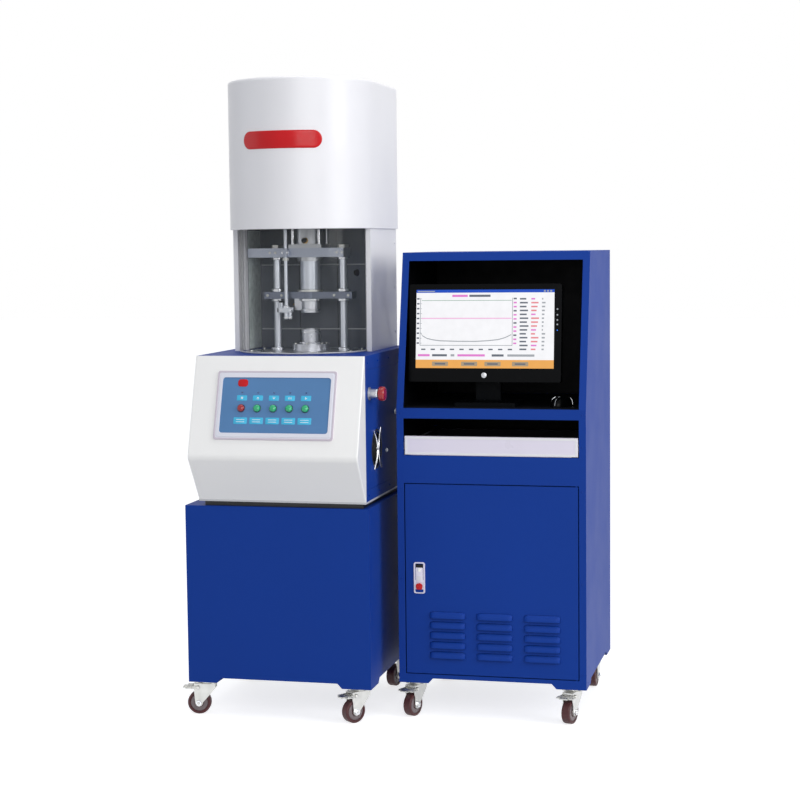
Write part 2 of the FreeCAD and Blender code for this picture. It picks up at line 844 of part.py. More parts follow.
def cooling_fan():
    """Axial fan behind the side wall, with its outer guard bars."""
    x = body_right - s.sheet - s.fan_frame_depth
    y = s.fan_back
    z = fan_height
    side = s.fan_frame_side
    frame = cut(
        box(s.fan_frame_depth, side, side, x, y - side / 2, z - side / 2),
        rod(s.fan_throat_radius, s.fan_frame_depth, x, y, z, X_AXIS))
    arms = [box(4, side, 8, x, y - side / 2, z - 4), box(4, 8, side, x, y - 4, z - side / 2)]
    seat = cut(
        fuse(rod(s.fan_hub_radius, 4, x, y, z, X_AXIS), *arms),
        rod(s.fan_shaft_radius + s.running_gap, 4, x, y, z, X_AXIS))
    housing = fuse(frame, seat)
    span = s.fan_throat_radius * 2 + 18
    bars = []
    for lean in (35, -35):
        bar = box(s.fan_guard_rod, s.fan_guard_rod * 2, span, 0, -s.fan_guard_rod, -span / 2)
        bar.Placement = at(body_right, y, z, Rotation(X_AXIS, lean)).multiply(bar.Placement)
        bars.append(bar)
    ring = cut(
        rod(s.fan_throat_radius + 6, s.fan_guard_rod, body_right, y, z, X_AXIS),
        rod(s.fan_throat_radius, s.fan_guard_rod, body_right, y, z, X_AXIS))
    node("fan_frame", group(housing, fuse(ring, *bars)))

    hub_x = x + 4 + s.swivel_gap
    hub_length = s.fan_frame_depth - 6
    hub = rod(s.fan_hub_radius, hub_length, hub_x, y, z, X_AXIS)
    shaft = rod(s.fan_shaft_radius, 4 + s.swivel_gap + 2, x, y, z, X_AXIS)
    blades = []
    reach = s.fan_throat_radius - 1.5
    for step in range(7):
        blade = box(hub_length - 4, s.fan_blade_sheet, reach, 2, -s.fan_blade_sheet / 2, 0)
        twist = at(hub_length / 2, 0, 0, Rotation(Z_AXIS, 32)).multiply(at(-hub_length / 2, 0, 0))
        turn = at(hub_x, y, z, Rotation(X_AXIS, step * 360 / 7))
        blade.Placement = turn.multiply(twist).multiply(blade.Placement)
        blades.append(blade)
    envelope = rod(reach, hub_length, hub_x, y, z, X_AXIS)
    common = doc.addObject("Part::Common", "blade_sweep")
    common.Base = envelope
    common.Tool = fuse(*blades)
    node("fan_rotor", fuse(hub, shaft, common))


def inlet_panel():
    """Rear plate with a mains inlet block and the compressed-air port."""
    x = s.inlet_across
    z = inlet_height
    width = s.inlet_width
    length = s.inlet_length
    plate = box(width, s.inlet_plate, length, x - width / 2, s.tester_depth, z - length / 2)
    face = s.tester_depth + s.inlet_plate
    mains = box(50, 9, 30, x + 12, face - 1, z - 15)
    socket = box(28, 8, 16, x + 23, face + 2, z - 8)
    boss = rod(s.air_boss_radius, s.air_port_depth + 1, x - 40, face - 1, z, Y_AXIS)
    port = rod(s.air_port_radius, s.air_port_depth, x - 40, face, z, Y_AXIS)
    node("inlet_panel", cut(fuse(plate, mains, boss), port, socket))


# Tower

def tower_section(half_width, front, back, lip):
    """Plan of the folded column with its guard rails, as one closed outline."""
    groove_in = s.guard_radius - s.guard_sheet - s.seat_gap
    groove_out = s.guard_radius + s.seat_gap
    rail_in = half_width - s.sheet - s.rail_width
    wall_in = half_width - s.sheet
    groove_back = s.tower_axis_y + s.guard_wing + s.seat_gap
    right = [
        (half_width, back), (half_width, front), (half_width - lip, front),
        (half_width - lip, front + s.sheet), (wall_in, front + s.sheet), (wall_in, s.rail_front),
        (groove_out, s.rail_front), (groove_out, groove_back), (groove_in, groove_back),
        (groove_in, s.rail_front), (rail_in, s.rail_front), (rail_in, s.rail_back),
        (wall_in, s.rail_back), (wall_in, back - s.sheet),
    ]
    outline = [(s.tower_axis_x + across, along) for across, along in right]
    outline += [(s.tower_axis_x - across, along) for across, along in reversed(right)]
    return outline


def column_cover():
    """Folded rear column with the two rails that the guard slides in."""
    body = new_body("column_cover")
    plan = tower_section(s.column_half_width, s.column_front, s.tester_depth, s.column_lip)
    pad(body, polygon(sketch_on(body, "XY_Plane", body_top), plan), head_bottom - body_top)
    return node("column_cover", body)


def chamber_liner():
    """Dark folded panel behind the press."""
    body = new_body("chamber_liner")
    half = s.column_half_width - s.sheet - s.rail_width + s.sheet
    front = s.rail_back + s.seat_gap
    back = s.liner_back + s.sheet
    inner = half - s.sheet
    centre = s.tower_axis_x
    plan = [
        (centre - half, front), (centre - inner, front), (centre - inner, s.liner_back),
        (centre + inner, s.liner_back), (centre + inner, front), (centre + half, front),
        (centre + half, back), (centre - half, back),
    ]
    pad(body, polygon(sketch_on(body, "XY_Plane", body_top), plan), head_bottom - body_top)
    return node("chamber_liner", body)


def d_block(radius, back, bottom, height):
    """Solid with a round front and straight sides that run to a flat back."""
    round_front = rod(radius, height, sweep=180)
    round_front.Placement = at(s.tower_axis_x, s.tower_axis_y, bottom, HALF_TURN)
    straight = box(radius * 2, back - s.tower_axis_y, height, s.tower_axis_x - radius, s.tower_axis_y, bottom)
    return fuse(round_front, straight)


def head_cover():
    """Deep D-shaped hood over the pneumatic cylinder, with a lip that the guard rises through."""
    height = head_top - head_bottom
    rim = float(head_top - s.sheet) - 0.5
    outer = rounded(d_block(s.head_radius, s.tester_depth, head_bottom, height), s.head_round,
                    lambda edge: edge.BoundBox.ZMin > rim)
    hollow = d_block(s.head_radius - s.sheet, s.tester_depth - s.sheet, head_bottom + s.sheet,
                     height - s.sheet * 2)
    inner = rounded(hollow, s.head_round - s.sheet, lambda edge: edge.BoundBox.ZMin > rim)
    mouth = d_block(s.head_radius - s.head_lip, s.tester_depth - s.sheet * 2, head_bottom, s.sheet)
    return node("head_cover", cut(outer, fuse(inner, mouth)))


def guard():
    """Clear curved guard: half a tube with straight wings in the rails."""
    inside = s.guard_radius - s.guard_sheet
    tubes = []
    for radius in (s.guard_radius, inside):
        tube = rod(radius, guard_height, sweep=180)
        tube.Placement = at(s.tower_axis_x, s.tower_axis_y, guard_bottom, HALF_TURN)
        tubes.append(tube)
    shell = cut(tubes[0], tubes[1])
    wings = [box(s.guard_sheet, s.guard_wing, guard_height, s.tower_axis_x + start, s.tower_axis_y,
                 guard_bottom) for start in (-s.guard_radius, inside)]
    return node("guard", fuse(shell, *wings))


# Die press

def press_table():
    """Round table with the rotor bore and its four legs."""
    x = s.tower_axis_x
    bottom = body_top - s.table_sheet
    disc = cut(
        rod(s.table_radius, s.table_sheet, x, s.table_y, bottom),
        rod(s.rotor_shaft_radius + s.running_gap, s.table_sheet, x, s.press_y, bottom))
    side = s.table_leg_side
    corners = [(x + across - side / 2, s.table_y + along - side / 2)
               for across in (-110, 110) for along in (-110, 110)]
    legs = [box(side, side, bottom - body_bottom, *corner, body_bottom) for corner in corners]
    return node("press_table", group(disc, *legs))


def press_frame():
    """Two bright posts, the top beam and the probe rod that is clamped to it."""
    x = s.tower_axis_x
    y = s.press_y
    posts = [rod(s.post_radius, beam_bottom - body_top, x + side * s.post_spacing / 2, y, body_top)
             for side in (-1, 1)]
    length = s.beam_left_reach + s.beam_right_reach
    beam = cut(
        box(length, s.beam_depth, s.beam_height, x - s.beam_left_reach, y - s.beam_depth / 2, beam_bottom),
        rod(s.ram_radius + s.running_gap, s.beam_height, x, y, beam_bottom))
    caps = [rod(s.post_radius - 3, 8, x + side * s.post_spacing / 2, y, cylinder_bottom) for side in (-1, 1)]
    beam_face = y - s.beam_depth / 2
    rod_y = beam_face - s.probe_rod_radius - 2
    rod_length = probe_rod_top - probe_rod_bottom
    stem = rod(s.probe_rod_radius, rod_length, s.probe_rod_x, rod_y, probe_rod_bottom)
    clamp = box(26, beam_face - rod_y + 8, 18, s.probe_rod_x - 13, rod_y - 8, beam_bottom + 6)
    block = box(44, 24, 16, s.probe_rod_x - 24, rod_y - 12, probe_rod_bottom - 14)
    tips = [rod(6.5, 34, s.probe_rod_x + across, rod_y, probe_rod_bottom - 34) for across in (-1, 13)]
    tail = rod(5, 22, s.probe_rod_x - 17, rod_y, probe_rod_bottom - 2)
    probe = fuse(stem, clamp, block, *tips, tail)
    return node("press_frame", group(*posts, beam, *caps, probe))


def air_cylinder():
    """Pneumatic cylinder on the top beam, with the black gland under it."""
    x = s.tower_axis_x
    y = s.press_y
    side = s.cylinder_flange_side
    clear = s.ram_radius + s.running_gap
    flange = cut(
        box(side, side, s.cylinder_flange, x - side / 2, y - side / 2, cylinder_bottom),
        rod(clear, s.cylinder_flange, x, y, cylinder_bottom))
    tube_bottom = cylinder_bottom + s.cylinder_flange
    cap_height = s.cylinder_flange
    tube_height = cylinder_top - cap_height - tube_bottom
    tube = cut(
        rod(s.cylinder_bore + s.cylinder_wall, tube_height, x, y, tube_bottom),
        rod(s.cylinder_bore, tube_height, x, y, tube_bottom))
    cap = box(side, side, cap_height, x - side / 2, y - side / 2, cylinder_top - cap_height)
    gland_bottom = beam_bottom - s.gland_height
    gland = cut(
        rod(s.gland_radius, s.gland_height, x, y, gland_bottom),
        rod(clear, s.gland_height, x, y, gland_bottom))
    return node("air_cylinder", group(fuse(flange, tube, cap), gland))


def crosshead():
    """Guided bar with the ram and piston that drive it."""
    x = s.tower_axis_x
    y = s.press_y
    bar = box(s.crosshead_length, s.crosshead_depth, s.crosshead_height,
              x - s.crosshead_length / 2, y - s.crosshead_depth / 2, crosshead_bottom)
    boss = rod(s.ram_radius, s.crosshead_height, x, y, crosshead_bottom)
    bores = [rod(s.post_radius + s.running_gap, s.crosshead_height, x + side * s.post_spacing / 2, y,
                 crosshead_bottom) for side in (-1, 1)]
    ram = rod(s.ram_radius, s.ram_length, x, y, crosshead_top)
    piston = rod(s.cylinder_bore - s.running_gap, s.piston_height, x, y, crosshead_top + s.ram_length)
    return node("crosshead", group(cut(fuse(bar, boss), *bores), fuse(ram, piston)))


def upper_die():
    """Heated upper die with its half of the rotor cavity, and the heater terminal box."""
    x = s.tower_axis_x
    y = s.press_y
    height = crosshead_bottom - upper_die_face
    die = cut(
        rod(s.die_radius, height, x, y, upper_die_face),
        rod(s.die_cavity_radius, s.die_cavity_depth, x, y, upper_die_face))
    width = s.heater_box_width
    terminals = cut(
        box(width, 40, height - 8, x - s.die_radius - width + 6, y - 20, upper_die_face + 8),
        rod(s.die_radius, height, x, y, upper_die_face))
    return node("upper_die", group(die, terminals))


def lower_die():
    """Base disc and heated lower die with its half of the rotor cavity."""
    x = s.tower_axis_x
    y = s.press_y
    bore = s.rotor_shaft_radius + s.running_gap
    disc = cut(
        rod(s.base_disc_radius, s.base_disc_height, x, y, body_top),
        rod(bore, s.base_disc_height, x, y, body_top))
    bottom = body_top + s.base_disc_height
    height = lower_die_face - bottom
    die = cut(
        rod(s.die_radius, height, x, y, bottom),
        fuse(rod(s.die_cavity_radius, s.die_cavity_depth, x, y, lower_die_face - s.die_cavity_depth),
             rod(bore, height, x, y, bottom)))
    return node("lower_die", group(disc, die))


def rotor():
    """Test rotor on its shaft down to the drive."""
    x = s.tower_axis_x
    y = s.press_y
    half = s.rotor_thickness / 2
    box_bottom = body_top - s.table_sheet - s.torque_cell_height - s.gearbox_height
    shaft_bottom = box_bottom + s.gearbox_floor + s.seat_gap
    disc = rod(s.rotor_radius, s.rotor_thickness, x, y, lower_die_face - half)
    shaft = rod(s.rotor_shaft_radius, lower_die_face - shaft_bottom, x, y, shaft_bottom)
    return node("rotor", fuse(disc, shaft))


def drive_unit():
    """Torque cell, gearbox and motor hung under the press table."""
    x = s.tower_axis_x
    y = s.press_y
    bore = s.rotor_shaft_radius + s.running_gap
    cell_bottom = body_top - s.table_sheet - s.torque_cell_height
    box_bottom = cell_bottom - s.gearbox_height
    cell = cut(
        rod(s.torque_cell_radius, s.torque_cell_height, x, y, cell_bottom),
        rod(bore, s.torque_cell_height, x, y, cell_bottom))
    side = s.gearbox_side
    gearbox = cut(
        box(side, side, s.gearbox_height, x - side / 2, y - side / 2, box_bottom),
        rod(bore, s.gearbox_height - s.gearbox_floor, x, y, box_bottom + s.gearbox_floor))
    motor = rod(s.motor_radius, s.motor_length, x, y, box_bottom - s.motor_length)
    return node("drive_unit", group(cell, gearbox, motor))


# Computer cabinet, drawn from its own front left corner

def in_cabinet(feature):
    """Move a piece from the computer cabinet's own corner to its place beside the tester."""
    feature.Placement = at(computer_x, s.computer_set_back, 0).multiply(feature.Placement)
    return feature


def computer_cabinet():
    """Welded cabinet with a leaning monitor bay, a shelf, a keyboard gap and a door opening."""
    body = new_body("computer_cabinet")
    width = s.computer_width
    depth = s.computer_depth
    skin = s.sheet
    flange = s.frame_flange
    side = [
        (0, s.castor_height), (depth, s.castor_height), (depth, computer_top),
        (s.computer_slope, computer_top), (0, s.shelf_top),
    ]
    pad(body, polygon(sketch_on(body, "YZ_Plane"), side), width)
    ceiling = computer_top - skin
    bay = [
        (skin, s.shelf_top), (depth - skin, s.shelf_top), (depth - skin, ceiling),
        (s.computer_slope + skin, ceiling),
    ]
    pocket(body, polygon(sketch_on(body, "YZ_Plane", skin), bay), width - skin * 2)
    rail = s.rail_return
    hollows = [
        (skin, keyboard_floor, depth - skin, s.shelf_top - skin),
        (rail, foot_top + skin, depth - skin, keyboard_floor - skin),
        (skin, foot_top + skin, rail, door_bottom_rail_top - s.door_gap),
        (skin, door_bottom_rail_top, rail, door_top_rail_bottom),
        (skin, door_top_rail_bottom + s.door_gap, rail, keyboard_floor - skin),
    ]
    for low_y, low_z, high_y, high_z in hollows:
        hollow = rectangle(sketch_on(body, "YZ_Plane", skin), low_y, low_z, high_y, high_z)
        pocket(body, hollow, width - skin * 2)
    windows = [
        (door_bottom_rail_top, door_top_rail_bottom, rail),
        (keyboard_floor, s.shelf_top - s.shelf_band, skin),
        (s.shelf_top, computer_top - s.top_flange, s.computer_slope),
    ]
    for low_z, high_z, through in windows:
        window = rectangle(sketch_on(body, "XZ_Plane"), flange, low_z, width - flange, high_z)
        pocket(body, window, through)
    for start in (door_bottom_rail_top - s.door_gap, door_top_rail_bottom):
        bore = circle(sketch_on(body, "XY_Plane", start), door_pivot_x, s.door_pivot_back,
                      s.door_pin_radius + s.running_gap)
        pocket(body, bore, s.door_gap)
    raise_skirt(body, width, depth)
    return node("computer_cabinet", in_cabinet(body))


def louvre_places():
    """Low left corner of each louvre on the door."""
    first_x = s.louvre_first_x - s.louvre_width / 2
    return [(first_x + s.louvre_pitch_x * column, s.louvre_first_z + s.louvre_pitch_z * row)
            for column in range(3) for row in range(5)]


def cabinet_door():
    """Folded door with pivot pins, pressed louvres and the latch pan."""
    body = new_body("door_panel")
    depth = s.door_depth
    skin = s.door_skin
    face = rectangle(sketch_on(body, "XZ_Plane"), door_left, door_bottom, door_right, door_top)
    pad(body, face, depth)
    inside = sketch_on(body, "XZ_Plane", skin)
    rectangle(inside, door_left + skin, door_bottom + skin, door_right - skin, door_top - skin)
    pocket(body, inside, depth)
    slots = sketch_on(body, "XZ_Plane")
    margin = skin * 1.2
    for x, z in louvre_places():
        rectangle(slots, x + margin, z, x + s.louvre_width - margin, z + s.louvre_slot)
    pocket(body, slots, skin)
    pan = sketch_on(body, "XZ_Plane")
    half_w = s.latch_width / 2 - 2
    half_l = s.latch_length / 2 - 2
    low, high = s.latch_height - half_l, s.latch_height + half_l
    rectangle(pan, s.latch_x - half_w, low, s.latch_x + half_w, high)
    pocket(body, pan, skin)
    rise = s.louvre_slot + s.louvre_rise - 8
    hoods = []
    for x, z in louvre_places():
        hood = new_body("louvre")
        outline = [(0, rise), (-s.louvre_depth * 0.55, rise - 3), (-s.louvre_depth, 2), (-s.louvre_depth, 0),
                   (-s.louvre_depth + skin, 0), (-s.louvre_depth * 0.55 + skin, rise - 5), (0, rise - 3)]
        pad(hood, polygon(sketch_on(hood, "YZ_Plane"), outline), s.louvre_width)
        ends = [box(skin, s.louvre_depth * 0.8, rise * 0.7, start, -s.louvre_depth * 0.8, 0)
                for start in (0, s.louvre_width - skin)]
        cowl = fuse(hood, *ends)
        cowl.Placement = at(x, 0, z)
        hoods.append(cowl)
    pin_length = s.door_pin_height + skin
    pins = [rod(s.door_pin_radius, pin_length, door_pivot_x, s.door_pivot_back, start)
            for start in (door_top - skin, door_bottom - s.door_pin_height)]
    panel = fuse(body, *hoods, *pins)
    return node("door", in_cabinet(group(panel, latch_pan())))


def latch_pan():
    """Pressed pan that the latch handle and its button sit in."""
    left = s.latch_x - s.latch_width / 2
    half_l = s.latch_length / 2
    low = s.latch_height - half_l
    inset = 2 + s.seat_gap
    rim = box(s.latch_width, s.latch_plate, s.latch_length, left, -s.latch_plate, low)
    back = box(s.latch_width - inset * 2, s.latch_pan_depth, s.latch_length - inset * 2,
               left + inset, 0, low + inset)
    handle_top = s.latch_height + half_l - 5
    recess_w = s.handle_width + s.seat_gap * 2
    recess_l = s.handle_length + s.seat_gap * 2
    recess = box(recess_w, s.latch_plate + s.handle_sheet, recess_l,
                 s.latch_x - recess_w / 2, -s.latch_plate, handle_top + s.seat_gap - recess_l)
    pin_y = -s.latch_plate + s.handle_sheet / 2 + 1
    pin_start = s.latch_x - s.handle_width / 2 - 3
    pin_bore = rod(s.handle_pin_radius + s.running_gap, s.handle_width + 6, pin_start, pin_y,
                   handle_top - 4, X_AXIS)
    button_bore = rod(s.latch_button_radius + s.running_gap, s.latch_plate + 7, s.latch_x, -s.latch_plate,
                      button_z, Y_AXIS)
    return cut(fuse(rim, back), fuse(recess, pin_bore), button_bore)


def latch_pieces():
    """Swinging latch handle on its pin, and the red release button."""
    handle_top = s.latch_height + s.latch_length / 2 - 5
    x = s.latch_x - s.handle_width / 2
    plate_z = handle_top - s.handle_length
    plate = box(s.handle_width, s.handle_sheet, s.handle_length, x, -s.latch_plate, plate_z)
    pin_y = -s.latch_plate + s.handle_sheet / 2 + 1
    round_top = rod(s.handle_sheet / 2 + 1, s.handle_width, x, pin_y, handle_top - 4, X_AXIS)
    pin = rod(s.handle_pin_radius, s.handle_width + 5, x - 2.5, pin_y, handle_top - 4, X_AXIS)
    corner = box(s.handle_width, s.handle_sheet, 5, x, -s.latch_plate, handle_top - 4)
    node("latch_handle", in_cabinet(fuse(cut(plate, corner), round_top, pin)))
    out = s.latch_button_travel + 1
    button = rod(s.latch_button_radius, out + 6, s.latch_x, -s.latch_plate - out, button_z, Y_AXIS)
    face = -float(s.latch_plate + out) + 0.5
    node("latch_button", in_cabinet(rounded(button, 1.2, lambda edge: edge.BoundBox.YMax < face)))


def drawer():
    """Keyboard drawer with a folded face and its two slide bars."""
    body = new_body("drawer_tray")
    left = s.drawer_side_inset
    right = s.computer_width - s.drawer_side_inset
    bottom = drawer_bottom
    wall = s.drawer_sheet
    start = s.drawer_face_depth
    tray = rectangle(sketch_on(body, "XY_Plane", bottom), left, start, right, s.drawer_length)
    pad(body, tray, s.drawer_wall_height)
    inside = sketch_on(body, "XY_Plane", bottom + wall)
    rectangle(inside, left + wall, start + wall, right - wall, s.drawer_length - wall)
    pocket(body, inside, s.drawer_wall_height)
    face = box(door_right - door_left, s.drawer_face_depth, s.drawer_face_height, door_left, 0, bottom)
    bar_low = slide_middle - s.slide_height / 2
    inner_end = s.runner_depth - s.runner_groove + 0.3
    bar_start = start + 6
    bars = [box(left - inner_end + 1, s.drawer_length - bar_start, s.slide_height, x, bar_start, bar_low)
            for x in (inner_end, right - 1)]
    softened = rounded(face, 1.5, lambda edge: edge.BoundBox.YMax < 0.5)
    return node("drawer", in_cabinet(fuse(body, softened, *bars)))


def drawer_runners():
    """Grooved rails on the cabinet's side walls."""
    low = slide_middle - s.runner_height / 2
    start = s.drawer_face_depth + 4
    length = s.drawer_length + 8 - start
    groove_low = slide_middle - s.slide_height / 2 - s.seat_gap
    rails = []
    for wall_x, groove_x in ((s.sheet, s.runner_depth - s.runner_groove),
                             (s.computer_width - s.runner_depth, s.computer_width - s.runner_depth)):
        rail = box(s.runner_depth - s.sheet, length, s.runner_height, wall_x, start, low)
        groove = box(s.runner_groove, length, s.slide_height + s.seat_gap * 2, groove_x, start, groove_low)
        rails.append(cut(rail, groove))
    return node("drawer_runners", in_cabinet(group(*rails)))


def keyboard():
    """Keyboard in the drawer: a low wedge under a block of keys."""
    body = new_body("keyboard_wedge")
    x = (s.computer_width - s.keyboard_width) / 2
    y = s.drawer_face_depth + 20
    z = drawer_bottom + s.drawer_sheet
    height = s.keyboard_height
    outline = [(y, z), (y + s.keyboard_depth, z), (y + s.keyboard_depth, z + height), (y, z + height * 0.5)]
    pad(body, polygon(sketch_on(body, "YZ_Plane", x), outline), s.keyboard_width)
    return node("keyboard", in_cabinet(body))


def monitor_stand():
    """Foot, neck and hinge ears of the monitor."""
    x = s.monitor_centre
    face = s.monitor_face
    neck_y = face + s.monitor_depth + 26
    foot = box(s.stand_width, s.stand_depth, s.stand_sheet, x - s.stand_width / 2, face - 15, s.shelf_top)
    foot = rounded(foot, 10, upright)
    neck_bottom = s.shelf_top + s.stand_sheet
    neck_top = hinge_height - s.hinge_knuckle_radius - 2
    neck = box(s.neck_width, s.neck_depth, neck_top - neck_bottom, x - s.neck_width / 2, neck_y, neck_bottom)
    pin_y = neck_y + s.neck_depth / 2
    half = s.hinge_knuckle_width / 2 + s.seat_gap
    ear_height = hinge_height + s.hinge_knuckle_radius - neck_top
    ears = [box(s.hinge_ear_width, s.neck_depth, ear_height, start, neck_y, neck_top)
            for start in (x - half - s.hinge_ear_width, x + half)]
    pin = rod(s.hinge_pin_radius, (half + s.hinge_ear_width) * 2, x - half - s.hinge_ear_width, pin_y,
              hinge_height, X_AXIS)
    return node("monitor_stand", in_cabinet(fuse(foot, neck, *ears, pin)))


def monitor():
    """Flat monitor with a sunk screen and the knuckle that tilts on the stand's pin."""
    body = new_body("monitor_case")
    x = s.monitor_centre
    half = s.monitor_width / 2
    low = monitor_bottom
    face = s.monitor_face
    outer = rectangle(sketch_on(body, "XZ_Plane", face), x - half, low, x + half, low + s.monitor_height)
    pad(body, outer, s.monitor_depth)
    round_body(body, s.monitor_round, lambda edge: edge.BoundBox.YLength > 0.9 * edge.Length)
    screen_half = s.screen_width / 2
    screen_z = low + s.screen_low
    screen = sketch_on(body, "XZ_Plane", face)
    rectangle(screen, x - screen_half, screen_z, x + screen_half, screen_z + s.screen_height)
    pocket(body, screen, s.screen_recess)
    neck_y = face + s.monitor_depth + 26
    pin_y = neck_y + s.neck_depth / 2
    knuckle_w = s.hinge_knuckle_width
    radius = s.hinge_knuckle_radius
    arm_start = face + s.monitor_depth
    left = x - knuckle_w / 2
    knuckle = rod(radius, knuckle_w, left, pin_y, hinge_height, X_AXIS)
    arm = box(knuckle_w, pin_y - arm_start, radius * 2 - 4, left, arm_start, hinge_height - radius + 2)
    bore = rod(s.hinge_pin_radius + s.running_gap, knuckle_w, left, pin_y, hinge_height, X_AXIS)
    plate = box(120, 6, 120, x - 60, arm_start, hinge_height - 60)
    screen_unit = cut(fuse(body, knuckle, arm, plate), bore)
    leaned = at(0, pin_y, hinge_height, Rotation(X_AXIS, -s.monitor_lean))
    screen_unit.Placement = leaned.multiply(at(0, -pin_y, -hinge_height))
    return node("monitor", in_cabinet(screen_unit))


def mouse():
    """Mouse on the shelf, a rounded block."""
    body = new_body("mouse")
    half = s.mouse_width / 2
    pad(body, rectangle(sketch_on(body, "XY_Plane"), -half, 0, half, s.mouse_length), s.mouse_height)
    round_body(body, s.mouse_width * 0.36, upright)
    top = float(s.mouse_height) - 0.5
    round_body(body, s.mouse_height * 0.5, lambda edge: edge.BoundBox.ZMin > top)
    body.Placement = at(s.mouse_x, s.mouse_y, s.shelf_top, Rotation(Z_AXIS, -18))
    return node("mouse", in_cabinet(body))


def computer_case():
    """Computer in the lower compartment, on four feet."""
    floor = foot_top + s.sheet
    x = s.case_x
    y = s.case_y
    case = box(s.case_width, s.case_depth, s.case_height, x, y, floor + s.case_foot)
    feet = [rod(12, s.case_foot, x + across, y + along, floor)
            for across in (22, s.case_width - 22) for along in (30, s.case_depth - 30)]
    front_low = float(y) + 0.5
    case = rounded(case, 6, lambda edge: edge.BoundBox.YMax < front_low)
    return node("computer_case", in_cabinet(fuse(case, *feet)))


# Assembly

plates = castor_set("tester", Size(0), Size(0), s.tester_width, s.tester_depth, TESTER_TRAILS)
plates += castor_set("computer", computer_x, s.computer_set_back, s.computer_width, s.computer_depth,
                     COMPUTER_TRAILS)
node("castor_plates", group(*plates))
tester_cabinet()
plinth()
base_plate()
body_shell()
front_hood()
control_panel()
panel_buttons()
emergency_stop()
cooling_fan()
inlet_panel()
column_cover()
chamber_liner()
head_cover()
guard()
press_table()
press_frame()
air_cylinder()
crosshead()
upper_die()
lower_die()
rotor()
drive_unit()
computer_cabinet()
cabinet_door()
latch_pieces()
drawer()
drawer_runners()
keyboard()
monitor_stand()
monitor()
mouse()
computer_case()
doc.recompute()

# Centre the footprint on the origin

whole = FreeCAD.BoundBox()
for feature in NODES.values():
    whole.add(feature.Shape.optimalBoundingBox(False, False))
centring = at(-whole.Center.x, -whole.Center.y, -whole.ZMin)
for feature in NODES.values():
    feature.Placement = centring.multiply(feature.Placement)
doc.recompute()

# Check every object, then write one file for each node

for item in doc.Objects:
    if "Invalid" in item.State or "Error" in item.State:
        raise RuntimeError(f"{item.Name} ({item.Label}) failed: {item.State}")
for label, feature in NODES.items():
    if feature.Shape.isNull() or not feature.Shape.isValid() or not feature.Shape.Solids:
        raise RuntimeError(f"{label} has no valid solid")

os.makedirs("parts", exist_ok=True)
for label, feature in NODES.items():
    feature.Shape.exportStep(os.path.join("parts", f"{label}.step"))
    corner = feature.Shape.BoundBox
    print(f"{label}: {len(feature.Shape.Solids)} solids,"
          f" x {corner.XMin:.1f} to {corner.XMax:.1f}, y {corner.YMin:.1f} to {corner.YMax:.1f},"
          f" z {corner.ZMin:.1f} to {corner.ZMax:.1f}")
shift = centring.Base
print(f"{len(NODES)} nodes; origin moved by {shift.x:.3f}, {shift.y:.3f}, {shift.z:.3f}")
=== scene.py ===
"""Looks of the mooney viscometer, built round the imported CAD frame.

The scene is in metres, with +Z up and -Y the front. Pieces are drawn in millimetres, in the frame of
the unit that they belong to: its cabinet's front left corner on the floor is the zero point.
"""
import json
import math
from functools import partial

import bmesh
import bpy
from mathutils import Matrix, Vector


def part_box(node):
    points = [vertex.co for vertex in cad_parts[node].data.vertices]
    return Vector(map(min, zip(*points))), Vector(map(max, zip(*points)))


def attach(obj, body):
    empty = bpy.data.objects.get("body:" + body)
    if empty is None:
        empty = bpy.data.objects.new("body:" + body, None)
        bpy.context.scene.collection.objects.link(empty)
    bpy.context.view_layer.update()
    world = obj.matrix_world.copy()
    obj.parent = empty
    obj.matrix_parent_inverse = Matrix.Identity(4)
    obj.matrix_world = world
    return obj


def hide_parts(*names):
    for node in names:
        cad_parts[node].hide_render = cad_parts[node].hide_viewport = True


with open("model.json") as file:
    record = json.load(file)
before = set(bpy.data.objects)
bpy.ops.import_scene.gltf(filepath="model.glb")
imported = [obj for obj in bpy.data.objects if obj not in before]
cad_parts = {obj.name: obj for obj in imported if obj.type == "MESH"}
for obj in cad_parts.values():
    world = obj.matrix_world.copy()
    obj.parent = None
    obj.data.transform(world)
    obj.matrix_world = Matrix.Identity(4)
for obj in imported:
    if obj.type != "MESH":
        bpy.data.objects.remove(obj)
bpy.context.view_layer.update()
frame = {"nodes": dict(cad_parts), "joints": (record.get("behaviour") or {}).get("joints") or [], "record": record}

NODES = frame["nodes"]
JOINTS = {joint["name"]: joint for joint in frame["joints"]}
MM = 0.001
X = Vector((1, 0, 0))
Y = Vector((0, 1, 0))
Z = Vector((0, 0, 1))
ROOT = "frame"


def unit_place(node):
    """Millimetre frame at a cabinet's front left corner on the floor."""
    low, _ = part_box(node)
    return Matrix.Translation((low.x, low.y, 0)) @ Matrix.Scale(MM, 4)


TESTER = unit_place("tester_cabinet")
COMPUTER = unit_place("computer_cabinet")


def node_box(node, unit=TESTER):
    """A node's box in the millimetres of a unit."""
    low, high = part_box(node)
    back = unit.inverted()
    return back @ low, back @ high


def node_middle(node, unit=TESTER):
    """The middle of a node's box."""
    low, high = node_box(node, unit)
    return (low + high) / 2


def joint_place(joint, unit=TESTER):
    """A joint's place in the millimetres of a unit."""
    return unit.inverted() @ Vector(JOINTS[joint]["pos_m"])


def facing(origin, across, normal):
    """Local frame at a point: x runs across and z along the normal."""
    side = Vector(across).normalized()
    out = Vector(normal).normalized()
    made = Matrix((side, out.cross(side), out)).transposed().to_4x4()
    made.translation = origin
    return made


def moved(x=0.0, y=0.0, z=0.0):
    """A shift in a local frame."""
    return Matrix.Translation((x, y, z))


def swung(degrees, axis="Z"):
    """A turn about an axis of a local frame."""
    return Matrix.Rotation(math.radians(degrees), 4, axis)


def new_object(name, data):
    """An object in the scene."""
    made = bpy.data.objects.new(name, data)
    bpy.context.scene.collection.objects.link(made)
    return made


# Colours

